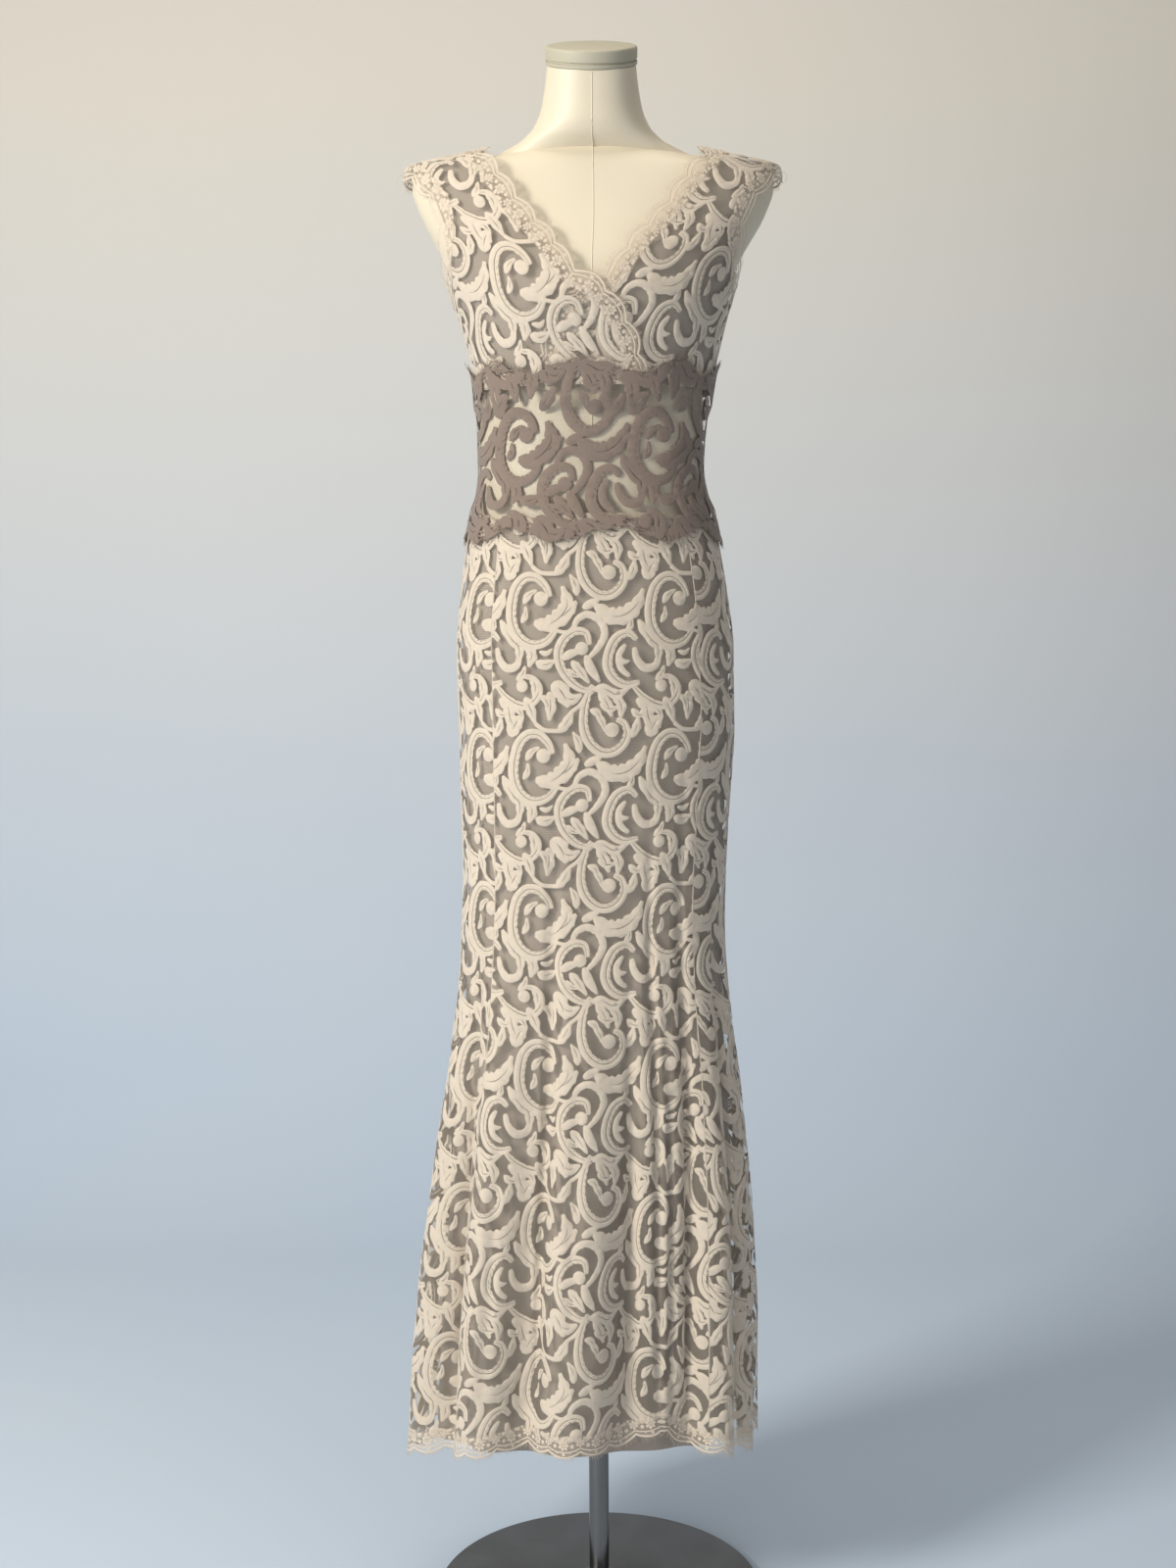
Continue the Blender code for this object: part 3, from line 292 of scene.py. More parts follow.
# Its leaves: the line from foot to tip, the widest, and how many lobes they have
LEAVES = [
    ([(31, 100), (45, 98), (58, 105), (67, 119), (62, 138)], 17, 5),
    ([(50, 103), (63, 108), (77, 122)], 14, 3),
    ([(2, 145), (8, 158), (17, 167)], 15, 2),
    ([(19, 186), (25, 174), (30, 159)], 10, 2),
    ([(46, 192), (47, 177), (45, 162)], 11, 2),
    ([(55, 150), (64, 160), (70, 173)], 10, 2),
    ([(137, 184), (147, 177), (150, 164), (158, 148)], 13, 3),
    ([(96, 118), (112, 107), (127, 108), (140, 119), (147, 135)], 17, 5),
    ([(83, 115), (92, 120), (101, 124)], 8, 0),
    ([(141, 103), (149, 89), (160, 77), (174, 72)], 10, 2),
    ([(24, 77), (28, 66), (24, 54)], 11, 2),
    ([(32, 59), (42, 56), (53, 61)], 10, 2),
    ([(49, 37), (59, 28), (66, 12)], 17, 3),
    ([(57, 27), (69, 20), (80, 25)], 11, 2),
    ([(92, 30), (104, 31), (117, 25), (131, 33)], 10, 2),
    ([(98, 28), (106, 16), (111, 2)], 10, 2),
    ([(113, 26), (121, 14), (120, 0)], 10, 2),
    ([(27, 45), (31, 33), (29, 20)], 9, 2),
    ([(70, 60), (77, 52), (88, 37)], 9, 2),
    ([(85, 66), (90, 52), (99, 38)], 9, 0),
    ([(8, 86), (14, 72), (13, 56)], 9, 2),
    ([(128, 145), (136, 152), (139, 166)], 9, 2),
    ([(60, 62), (70, 68), (80, 70)], 8, 0),
    ([(20, 120), (26, 129), (35, 134)], 7, 1),
    ([(17, 100), (22, 108), (22, 117)], 6, 1),
    ([(95, 168), (101, 161), (104, 150)], 7, 1),
    ([(99, 180), (108, 174), (119, 176)], 7, 2),
    ([(66, 52), (71, 46), (79, 44)], 6, 1),
    ([(120, 63), (125, 59), (131, 60)], 5, 0),
    ([(10, 40), (17, 46), (20, 55)], 7, 1),
    ([(36, 24), (43, 18), (45, 8)], 7, 2),
    ([(77, 128), (76, 140), (70, 150)], 8, 2),
    ([(36, 70), (44, 68), (50, 73)], 5, 0),
    ([(128, 92), (133, 97), (134, 105)], 6, 1),
    ([(88, 9), (96, 6), (101, -3)], 7, 1),
    ([(132, 10), (138, 4), (147, 3)], 7, 1),
    ([(6, 12), (13, 8), (17, -1)], 7, 1),
]
STEMS = [
    ([(54, 92), (66, 90), (74, 96)], 4.0),
    ([(70, 172), (78, 178), (86, 190)], 4.0),
    ([(30, 159), (40, 152), (56, 151)], 4.5),
]


# Surface of the figure


def read_smooth(rows, at):
    """Each column of rows read at values of its first column, by a curve that doesn't overshoot."""
    x, y = rows[:, 0], rows[:, 1:]
    step = np.diff(x)[:, None]
    slope = np.diff(y, axis=0) / step
    tangent = np.zeros_like(y)
    before, after = slope[:-1], slope[1:]
    together = before * after > 0
    tangent[1:-1][together] = (2 * before * after)[together] / (before + after)[together]
    tangent[0], tangent[-1] = slope[0], slope[-1]
    at = np.clip(np.asarray(at, float), x[0], x[-1])
    k = np.clip(np.searchsorted(x, at) - 1, 0, len(x) - 2)
    t = ((at - x[k]) / step[k, 0])[:, None]
    h = step[k]
    return (
        y[k] * (1 + 2 * t) * (1 - t) ** 2
        + tangent[k] * h * t * (1 - t) ** 2
        + y[k + 1] * t**2 * (3 - 2 * t)
        + tangent[k + 1] * h * t**2 * (t - 1)
    )


def ease(x):
    """A soft step: 0 up to 0, 1 from 1 on."""
    x = np.clip(x, 0, 1)
    return x * x * (3 - 2 * x)


def flute_shape(angle):
    """How far each angle is pushed out and sideways by the flutes at the hem."""
    out, side = np.zeros_like(angle), np.zeros_like(angle)
    for middle, half, push, hang in FLUTES:
        x = ((angle - middle + 180) % 360 - 180) / half
        near = np.abs(x) < 1
        out += np.where(near, push * (1 + np.cos(np.pi * x)) / 2, 0)
        side += np.where(near, hang * np.sin(np.pi * x), 0)
    return out, side


def crease_depth(angle, station):
    """How far the listed creases and a faint unevenness sink the cloth."""
    depth = np.zeros_like(angle)
    for at, start, end, deep, half, lean in CREASES:
        x = ((angle - at - lean * (station - start) + 180) % 360 - 180) / half
        rise = min(CREASE_RISE, (end - start) * 0.75)
        along = ease((station - start) / rise) * ease((end + CREASE_FALL / 2 - station) / CREASE_FALL)
        depth += deep * along * np.exp(-(x**2))
    turn = np.radians(angle)
    waver = np.sin(3 * turn + 17 * station + 1.0) * np.sin(31 * station + 2 * turn)
    return depth + WAVER * waver * ease((station - 0.02) / 0.05)


def section_point(angle, rows):
    """Points on the rounded section of each row (mid, half, front, back) at each angle."""
    a = np.radians(angle)
    across, along = np.sin(a), np.cos(a)
    depth = np.where(along > 0, rows[:, 2], rows[:, 3])
    x = rows[:, 0] + rows[:, 1] * np.sign(across) * np.abs(across) ** (2 / SQUARE)
    y = -depth * np.sign(along) * np.abs(along) ** (2 / SQUARE)
    return x, y


def worn_point(angle, station, layer="lace"):
    """Points of the worn surface. layer says which cloth hangs there, lace or lining."""
    rows = read_smooth(WORN, station)
    x, y = section_point(angle, rows[:, 1:])
    ax, ay = section_point(angle - 0.5, rows[:, 1:])
    bx, by = section_point(angle + 0.5, rows[:, 1:])
    along = np.stack([bx - ax, by - ay], 1)
    along /= np.linalg.norm(along, axis=1)[:, None]
    outward = np.stack([along[:, 1], -along[:, 0]], 1)
    grown = ease((station - FLARE_TOP) / (HEM_STATION - FLARE_TOP)) ** 1.15
    out, side = flute_shape(angle)
    if layer == "lining":
        out, side = LINING_GROWTH * out - LINING_SLACK, LINING_GROWTH * side
    shift = (outward * out[:, None] + along * side[:, None]) * grown[:, None]
    if layer != "form":
        shift -= outward * crease_depth(angle, station)[:, None]
    return np.stack([x + shift[:, 0], y + shift[:, 1], rows[:, 0]], 1)


def surface_normal(angle, station, layer="lace"):
    """The worn surface's outward directions."""
    turn, drop = 0.6, 0.002
    across = worn_point(angle + turn, station, layer) - worn_point(angle - turn, station, layer)
    down = worn_point(angle, station + drop, layer) - worn_point(angle, station - drop, layer)
    normal = np.cross(down, across)
    return normal / np.maximum(np.linalg.norm(normal, axis=1), 1e-12)[:, None]


def worn(angle, station, off, layer="lace"):
    """Points that stand off the worn surface by off, along its normal."""
    angle, station = np.asarray(angle, float), np.asarray(station, float)
    off = np.broadcast_to(off, len(angle))[:, None]
    return worn_point(angle, station, layer) + surface_normal(angle, station, layer) * off


def station_of(height):
    """The station at a height above the floor."""
    return np.interp(-np.asarray(height, float), -WORN[:, 1], WORN[:, 0])


# Stations of the pieces' level edges, from their heights above the floor
SKIRT_TOP = float(station_of(1.214))
BODICE_FOOT = float(station_of(1.346))
BAND_TOP = float(station_of(1.362))
BAND_FOOT = float(station_of(1.195))


def lace_hem(angle):
    """Station of the skirt's hem, higher in front than at the sides and back."""
    forward = np.cos(np.radians(angle))
    rise = LACE_HEM_FRONT_RISE * np.maximum(forward, 0) ** 1.2
    drop = LACE_HEM_BACK_DROP * np.maximum(-forward, 0)
    tuck = TUCK_RISE * np.clip(1 - np.abs(np.asarray(angle) - TUCK_ANGLE) / TUCK_HALF, 0, 1)
    return station_of(LACE_HEM_SIDE + rise - drop + tuck)


def lining_hem(angle):
    """Station of the skirt lining's hem."""
    forward = np.cos(np.radians(angle))
    mean = (LINING_HEM_FRONT + LINING_HEM_BACK) / 2
    return station_of(mean + forward * (LINING_HEM_FRONT - LINING_HEM_BACK) / 2)


def overlap_lift(angle):
    """How far the right front stands off to lap over the left one."""
    return OVERLAP_LIFT * ease((OVERLAP_REACH - np.abs(angle)) / OVERLAP_EASE)


def at_lace(angle, station):
    return np.full(len(angle), LACE_BASE)


def at_overlap(angle, station):
    return LACE_BASE + overlap_lift(angle)


def at_band(angle, station):
    """The waist band lies over the ends of the bodice and the skirt, and sinks between them."""
    bodice_share = ease((BODICE_FOOT + BAND_OVER_BODICE - station) / BAND_SINK)
    skirt_share = ease((station - SKIRT_TOP + BAND_OVER_SKIRT) / BAND_SINK)
    return LACE_BASE + bodice_share * (BAND_LIFT + overlap_lift(angle)) + skirt_share * BAND_LIFT


def body_drop(station):
    """How much closer the lining and the form lie under the shoulders and past the hips."""
    return SHOULDER_DROP * ease((0.19 - station) / 0.05) + HIP_DROP * ease((station - 0.50) / 0.12)


def at_lining(angle, station):
    return LINING_OFF - body_drop(station)


# Flat drawing of the cloth


class Cut:
    """A panel laid flat: across is metres along the cloth from its middle angle, down is the station.

    The surface is measured on a grid that reaches a little past the panel on all sides.
    """

    TURN_STEP = 0.5
    DROP_STEP = 0.004
    TURN_SPARE = 3
    DROP_SPARE = 0.012

    def __init__(self, low, high, middle, first, last, layer="lace"):
        self.first_angle, self.first_station = low - self.TURN_SPARE, first - self.DROP_SPARE
        angles = np.arange(self.first_angle, high + self.TURN_SPARE, self.TURN_STEP)
        stations = np.arange(self.first_station, last + self.DROP_SPARE, self.DROP_STEP)
        grid_angle, grid_station = np.meshgrid(angles, stations)
        spots = worn_point(grid_angle.ravel(), grid_station.ravel(), layer).reshape(*grid_angle.shape, 3)
        step = np.linalg.norm(np.diff(spots, axis=1), axis=2)
        run = np.concatenate([np.zeros((len(stations), 1)), np.cumsum(step, axis=1)], axis=1)
        self.run = run - np.array([np.interp(middle, angles, row) for row in run])[:, None]
        self.middle = middle

    def across(self, angle, station):
        """Metres across at points of the surface."""
        i = np.clip((station - self.first_station) / self.DROP_STEP, 0, self.run.shape[0] - 1.001)
        j = np.clip((angle - self.first_angle) / self.TURN_STEP, 0, self.run.shape[1] - 1.001)
        i0, j0 = i.astype(int), j.astype(int)
        fi, fj = i - i0, j - j0
        upper = self.run[i0, j0] * (1 - fj) + self.run[i0, j0 + 1] * fj
        lower = self.run[i0 + 1, j0] * (1 - fj) + self.run[i0 + 1, j0 + 1] * fj
        return upper * (1 - fi) + lower * fi

    def angle(self, across, station):
        """The angles at flat points, found by steps."""
        found = self.middle + np.degrees(across / 0.15)
        for _ in range(12):
            slope = (self.across(found + 0.3, station) - self.across(found - 0.3, station)) / 0.6
            found = found - np.clip((self.across(found, station) - across) / np.maximum(slope, 1e-4), -8, 8)
        return found


def line_through(points, count):
    """Evenly spaced points on a smooth line through the given ones."""
    p = np.array(points, float)
    p = np.vstack([2 * p[0] - p[1], p, 2 * p[-1] - p[-2]])
    step = np.linalg.norm(np.diff(p[1:-1], axis=0), axis=1)
    run = np.concatenate([[0], np.cumsum(step)])
    at = np.linspace(0, run[-1], count)
    k = np.clip(np.searchsorted(run, at, side="right") - 1, 0, len(step) - 1)
    t = ((at - run[k]) / step[k])[:, None]
    a, b, c, d = p[k], p[k + 1], p[k + 2], p[k + 3]
    return 0.5 * (2 * b + (c - a) * t + (2 * a - 5 * b + 4 * c - d) * t**2 + (3 * b - a - 3 * c + d) * t**3)


def ribbon(spine, left, right):
    """The outline of a band that reaches left and right of a line."""
    ahead = np.gradient(spine, axis=0)
    ahead /= np.linalg.norm(ahead, axis=1)[:, None]
    side = np.stack([-ahead[:, 1], ahead[:, 0]], 1)
    return np.concatenate([spine - side * right[:, None], (spine + side * left[:, None])[::-1]])


def length_of(points):
    return np.linalg.norm(np.diff(np.array(points, float), axis=0), axis=1).sum()


def round_shape(u, v, radius, sides=12, tall=1.0):
    """A round or oval outline about a flat point."""
    a = np.arange(sides) * 2 * math.pi / sides
    return np.stack([u + radius * np.cos(a), v + tall * radius * np.sin(a)], 1)


def inner_side(spine):
    """1 where the line bends to its left, -1 where it bends to its right."""
    ahead = np.diff(spine, axis=0)
    turn = (ahead[:-1, 0] * ahead[1:, 1] - ahead[:-1, 1] * ahead[1:, 0]).sum()
    return 1 if turn > 0 else -1


def lace_shapes():
    """One repeat's clothwork and the veins left open in it, as outlines in metres."""
    cloth, veins = [], []
    for number, (points, wide, slit) in enumerate(SCROLLS):
        long = length_of(points)
        count = max(12, round(long / SCROLL_STEP))
        spine = line_through(points, count)
        t = np.linspace(0, 1, count)
        half = SCROLL_FULL * wide / 2 * (0.42 + 0.58 * np.sin(np.pi * t) ** 0.6)
        notch = np.abs(np.sin(np.pi * (t * long / LOBE_LONG + 0.3 * number)))
        lobed = half * (1 - LOBE_DEEP * (1 - notch) * np.sin(np.pi * t) ** 0.3)
        plain = half * (1 + 0.03 * np.sin(5 * np.pi * t + number))
        left, right = (lobed, plain) if inner_side(spine) > 0 else (plain, lobed)
        if slit:
            gap = SLIT * np.sin(np.pi * t) ** 0.5
            middle = half * 0.12
            cloth.append(ribbon(spine, left, -middle - gap / 2))
            cloth.append(ribbon(spine, middle - gap / 2, right))
        else:
            cloth.append(ribbon(spine, left, right))
        if wide > DASHED_FROM:
            veins += dashes(line_through(points, count * 2), half.max() * 0.56 * inner_side(spine))
    cloth += [round_shape(u, v, CURL_FULL * radius) for u, v, radius in CURLS]
    for points, wide, lobes in LEAVES:
        count = max(7, round(length_of(points) / LEAF_STEP))
        spine = line_through(points, count)
        t = np.linspace(0, 1, count)
        half = LEAF_FULL * wide / 2 * np.sin(np.pi * np.clip(t, 0.03, 0.97) ** 0.8) ** 0.6
        if lobes:
            half = half * (0.74 + 0.34 * np.abs(np.sin(np.pi * (lobes + 0.5) * t)))
            vein = spine[round(count * 0.25):round(count * 0.8)]
            thin = SLIT / 2 * np.sin(np.pi * np.linspace(0.08, 0.92, len(vein)))
            veins.append(ribbon(vein, thin, thin))
        cloth.append(ribbon(spine, half, half))
    for points, wide in STEMS:
        cloth.append(ribbon(line_through(points, 6), np.full(6, wide / 2), np.full(6, wide / 2)))
    return [shape * MM for shape in cloth], [shape * MM for shape in veins]


def dashes(spine, beside_by):
    """Short slits in a row along a line, to one side of it."""
    ahead = np.gradient(spine, axis=0)
    ahead /= np.linalg.norm(ahead, axis=1)[:, None]
    line = spine + np.stack([-ahead[:, 1], ahead[:, 0]], 1) * beside_by
    found = []
    for first in range(DASH_POINTS, len(line) - 2 * DASH_POINTS, DASH_POINTS + 2):
        run = line[first:first + DASH_POINTS]
        thin = DASH_WIDE / 2 * np.sin(np.pi * np.linspace(0.15, 0.85, DASH_POINTS))
        found.append(ribbon(run, thin, thin))
    return found


def counter_clockwise(loop):
    """The loop, turned round if it runs clockwise."""
    ahead = np.roll(loop, -1, axis=0)
    turn = (loop[:, 0] * ahead[:, 1] - ahead[:, 0] * loop[:, 1]).sum()
    return loop if turn > 0 else loop[::-1]


def flat_area(loop):
    ahead = np.roll(loop, -1, axis=0)
    return abs((loop[:, 0] * ahead[:, 1] - ahead[:, 0] * loop[:, 1]).sum()) / 2


def drawn_in(loop, by):
    """A counter-clockwise loop moved inwards."""
    along = np.roll(loop, -1, axis=0) - np.roll(loop, 1, axis=0)
    along /= np.maximum(np.linalg.norm(along, axis=1), 1e-9)[:, None]
    return loop + np.stack([-along[:, 1], along[:, 0]], 1) * by


def depth_inside(points, loop):
    """How deep each point lies inside a loop, 0 outside it and on it."""
    ahead = np.roll(loop, -1, axis=0)
    along = ahead - loop
    to = points[:, None, :] - loop[None, :, :]
    t = np.clip((to * along).sum(2) / np.maximum((along**2).sum(1), 1e-12), 0, 1)
    away = np.sqrt(((to - along * t[:, :, None]) ** 2).sum(2)).min(1)
    x, y = points[:, 0:1], points[:, 1:2]
    crosses = (loop[:, 1] > y) != (ahead[:, 1] > y)
    rise = np.where(np.abs(along[:, 1]) < 1e-12, 1e-12, along[:, 1])
    left = x < along[:, 0] * (y - loop[:, 1]) / rise + loop[:, 0]
    return np.where((crosses & left).sum(1) % 2 == 1, away, -away)


def repeated(shapes, edge, wide, tall, origin):
    """The repeat's shapes at each place where they meet the panel's flat outline."""
    low, high = edge.min(axis=0), edge.max(axis=0)
    first = np.floor((low - origin) / (wide, tall)).astype(int) - (1, 2)
    last = np.ceil((high - origin) / (wide, tall)).astype(int) + 1
    found = []
    for i in range(first[0], last[0]):
        for j in range(first[1], last[1]):
            for shape in shapes:
                placed = shape + (origin[0] + i * wide, origin[1] + j * tall)
                if (placed.max(axis=0) > low).all() and (placed.min(axis=0) < high).all():
                    found.append(counter_clockwise(placed))
    return found


def relief_of(spots, cloth, veins, relief):
    """How high the clothwork stands at each flat point."""
    depth = np.zeros(len(spots))
    for loop in cloth:
        near = ((spots > loop.min(axis=0)) & (spots < loop.max(axis=0))).all(1)
        near = np.nonzero(near)[0]
        if len(near):
            depth[near] = np.maximum(depth[near], depth_inside(spots[near], loop))
    for loop in veins:
        near = ((spots > loop.min(axis=0) - 1e-5) & (spots < loop.max(axis=0) + 1e-5)).all(1)
        near = np.nonzero(near)[0]
        if len(near):
            hit = depth_inside(spots[near], loop) > -1e-5
            depth[near[hit]] = 0
    return relief * ease(depth / RELIEF_SLOPE)


def mesh_lace(edge, cloth, veins, step, relief=LACE_RELIEF):
    """Flat points, faces, which faces are net, and the relief, for lace inside an outline.

    A face's owners are the loops it lies in: 0 is the outline, then the clothwork, then the veins.
    """
    edge = counter_clockwise(edge)
    loops = [edge, *cloth, *veins]
    small = [np.ptp(loop, axis=0).max() < SMALL_SHAPE for loop in cloth]
    middles = np.array([loop.mean(axis=0) for loop, is_small in zip(cloth, small) if is_small]).reshape(-1, 2)
    inner = [drawn_in(loop, RELIEF_SLOPE) for loop, is_small in zip(cloth, small) if not is_small]
    low, high = edge.min(axis=0), edge.max(axis=0)
    across, up = np.arange(low[0], high[0], GRID_ACROSS * step), np.arange(low[1], high[1], GRID_UP * step)
    grid = np.stack(np.meshgrid(across, up), -1)
    faces, lines, start = [], [], 0
    for loop in loops:
        faces.append(list(range(start, start + len(loop))))
        start += len(loop)
    for loop in inner:
        lines += [(start + k, start + (k + 1) % len(loop)) for k in range(len(loop))]
        start += len(loop)
    spots = np.concatenate([*loops, *inner, middles, grid.reshape(-1, 2)])
    found, _, tris, _, _, owners = delaunay_2d_cdt([tuple(p) for p in spots], lines, faces, 1, 1e-7)
    found = np.array([tuple(p) for p in found])
    last_cloth = len(cloth)
    kept, net = [], []
    for tri, owner in zip(tris, owners):
        if 0 in owner:
            kept.append(tri)
            in_cloth = any(1 <= k <= last_cloth for k in owner)
            in_vein = any(k > last_cloth for k in owner)
            net.append(in_vein or not in_cloth)
    used = np.unique(np.array(kept).ravel())
    renumber = np.full(len(found), -1)
    renumber[used] = np.arange(len(used))
    found = found[used]
    return found, renumber[np.array(kept)], np.array(net), relief_of(found, cloth, veins, relief)


# Meshes and their materials


def new_piece(name, points, faces, materials, second=None, flat=None):
    """A smooth mesh object. second marks the faces that take the second material."""
    mesh = bpy.data.meshes.new(name)
    mesh.from_pydata(np.asarray(points).tolist(), [], np.asarray(faces).tolist())
    for made in materials:
        mesh.materials.append(made)
    if second is not None:
        mesh.polygons.foreach_set("material_index", second.astype(np.int32))
    if flat is not None:
        layer = mesh.uv_layers.new(name="Cloth")
        corners = np.empty(len(mesh.loops), np.int32)
        mesh.loops.foreach_get("vertex_index", corners)
        layer.uv.foreach_set("vector", flat[corners].astype(np.float32).ravel())
    mesh.shade_smooth()
    obj = bpy.data.objects.new(name, mesh)
    bpy.context.scene.collection.objects.link(obj)
    return obj


def finish(obj, nodes=(), body=BODY):
    """Rides the piece on its body and hides the CAD solids that it stands for."""
    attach(obj, body)
    if nodes:
        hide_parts(*nodes)
    return obj


def fine_outline(outline, step=0.004):
    """The outline's sides with a point every step, as (angle, station)."""
    pts = np.array(outline, float)
    found = []
    for here, ahead in zip(pts, np.roll(pts, -1, axis=0)):
        span = math.hypot((ahead[0] - here[0]) * 0.15 * math.pi / 180, ahead[1] - here[1])
        count = max(1, round(span / step))
        found += [here + (ahead - here) * k / count for k in range(count)]
    return np.array(found)


LACE_CLOTH, LACE_VEINS = lace_shapes()


def lace_panel(name, outline, middle, origin, off, look, nodes):
    """A panel of lace laid on the figure: raised clothwork, and net between it."""
    outline = fine_outline(outline)
    low, high = outline.min(axis=0), outline.max(axis=0)
    cut = Cut(low[0], high[0], middle, low[1], high[1])
    edge = np.stack([cut.across(outline[:, 0], outline[:, 1]), -outline[:, 1]], 1)
    start = (origin[0], -origin[1] - REPEAT_TALL)
    cloth = repeated(LACE_CLOTH, edge, REPEAT_WIDE, REPEAT_TALL, start)
    veins = repeated(LACE_VEINS, edge, REPEAT_WIDE, REPEAT_TALL, start)
    flat, faces, net, relief = mesh_lace(edge, cloth, veins, LACE_STEP)
    station = -flat[:, 1]
    angle = cut.angle(flat[:, 0], station)
    points = worn(angle, station, off(angle, station) + relief)
    obj = new_piece(name, points, faces, look, net, flat)
    finish(obj, nodes)
    return obj


# Outlines of the pieces, as (angle, station)

# Metres of cloth to a degree at the figure's usual radius
METRES_A_DEGREE = 0.150 * math.pi / 180


def smooth_line(points, step=SCALLOP / 16, multiple=16):
    """A soft curve through (angle, station) points, with whole scallops of sixteen even steps."""
    pts = np.array(points, float) * (METRES_A_DEGREE, 1)
    run = np.concatenate([[0], np.cumsum(np.linalg.norm(np.diff(pts, axis=0), axis=1))])
    count = multiple * max(1, round(run[-1] / step / multiple)) + 1
    found = read_smooth(np.column_stack([run, pts]), np.linspace(0, run[-1], count))
    return [(x / METRES_A_DEGREE, y) for x, y in found]


def clipped(points, column, low, high):
    """The stretch of a line whose angle (column 0) or station (column 1) lies between two values."""
    found = []
    for here, ahead in zip(points, points[1:] + points[-1:]):
        if low <= here[column] <= high:
            found.append(tuple(here))
        for limit in (low, high):
            if min(here[column], ahead[column]) < limit < max(here[column], ahead[column]):
                t = (limit - here[column]) / (ahead[column] - here[column])
                found.append(tuple(np.array(here) + t * (np.array(ahead) - here)))
    return found


def mirrored(points):
    return [(-a, s) for a, s in points]


def joined(*parts):
    """Stretches of an outline in a row, without the points that two of them share."""
    found = []
    for part in parts:
        found += [p for p in part if not found or math.dist(p, found[-1]) > 1e-9]
    return found if math.dist(found[0], found[-1]) > 1e-9 else found[:-1]


def beside(path, by, closed=False):
    """The path moved sideways on the cloth, to its left for a positive distance."""
    pts = np.array(path, float)
    here = worn_point(pts[:, 0], pts[:, 1])
    if closed:
        ahead = np.roll(here, -1, axis=0) - np.roll(here, 1, axis=0)
    else:
        ahead = np.gradient(here, axis=0)
    left = np.cross(surface_normal(pts[:, 0], pts[:, 1]), ahead)
    left /= np.linalg.norm(left, axis=1)[:, None]
    target = here + left * np.broadcast_to(by, len(pts))[:, None]
    for _ in range(8):
        angle, station = pts.T
        wide = worn_point(angle + 0.5, station) - worn_point(angle - 0.5, station)
        tall = (worn_point(angle, station + 0.001) - worn_point(angle, station - 0.001)) / 0.002
        miss = target - worn_point(angle, station)
        ww, wt, tt = (wide * wide).sum(1), (wide * tall).sum(1), (tall * tall).sum(1)
        mw, mt = (miss * wide).sum(1), (miss * tall).sum(1)
        area = ww * tt - wt * wt
        turn, drop = (mw * tt - mt * wt) / area, (mt * ww - mw * wt) / area
        pts = pts + np.column_stack([np.clip(turn, -3, 3), np.clip(drop, -0.01, 0.01)])
    return [tuple(p) for p in pts]


def half_outline(neck, arm, seam, centre):
    """A bodice piece on the wearer's left: from the centre along the neckline, down the shoulder
    seam, the armhole and the side seam, and back along the waist."""
    corners = [(seam, arm[-1][1]), (seam, BODICE_FOOT), (centre, BODICE_FOOT)]
    back_up = [neck[0]] if centre > seam else []
    return joined(neck, [(seam, neck[-1][1]), (seam, arm[0][1])], arm, corners, back_up)


def bodice_halves(neck, arm, centre=None):
    """The front's and the back's outlines from one neckline, centre back to waist, and one armhole."""
    front_seam, back_seam = SIDE_SEAM - RIM, SIDE_SEAM + RIM
    ring = arm + arm[:1]
    front_neck = clipped(clipped(neck, 0, -90, front_seam), 1, 0, BODICE_FOOT)[::-1]
    front_arm = clipped(ring, 0, 0, front_seam)
    back_neck = clipped(neck, 0, back_seam, 180)
    back_arm = clipped(ring, 0, back_seam, 180)[::-1]
    middle = front_neck[0][0] if centre is None else centre
    return (
        half_outline(front_neck, front_arm, front_seam, middle),
        half_outline(back_neck, back_arm, back_seam, back_neck[0][0]),
    )


def neck_path(wrap):
    """One side's neckline, from the centre back round the neck and down its front's edge."""
    back = NECK_BACK[:-1] + [(180 - RIM, NECK_BACK[-1][1])]
    return smooth_line(back[::-1] + NECK_FRONT[1:] + wrap[1:])


# The two fronts: which side, its name, its edge below the neckline's point, and how it lies there
FRONTS = ((-1, "right", WRAP_OVER, at_overlap), (1, "left", WRAP_UNDER, at_lace))


def armhole_path():
    """The left armhole as a closed line."""
    front = smooth_line(ARMHOLE_FRONT)
    back = [(180 - a, s) for a, s in front[::-1]]
    return front[:-1] + back[:-1]


# The scalloped edgings


def scallop_out(run, length):
    """How far an edging's rim stands out, run metres along it."""
    return SCALLOP_DEEP * np.abs(np.sin(np.pi * run / length)) ** 0.8


def petals(u, v, count, reach, long, wide, turn=0.0):
    """A rosette's petals and its middle."""
    found = [round_shape(u, v, wide * 0.45, 8)]
    for k in range(count):
        a = 2 * math.pi * k / count + turn
        oval = round_shape(0, 0, wide / 2, 10, long / wide)
        ca, sa = math.cos(a - math.pi / 2), math.sin(a - math.pi / 2)
        turned = oval @ np.array([[ca, sa], [-sa, ca]])
        found.append(turned + (u + reach * math.cos(a), v + reach * math.sin(a)))
    return found


# Small rounds of a scallop: where along it (0 to 1), metres out from its valleys, and radius
TRIM_DOTS = (
    (0.25, -0.0150, 0.0021), (0.75, -0.0150, 0.0021), (0.24, -0.0075, 0.0021), (0.76, -0.0075, 0.0021),
    (0.33, -0.0155, 0.0016), (0.67, -0.0155, 0.0016), (0.5, -0.0150, 0.0018), (0.5, 0.0012, 0.0017),
    (0.30, -0.0012, 0.0013), (0.70, -0.0012, 0.0013), (0.13, -0.0160, 0.0014), (0.87, -0.0160, 0.0014),
)


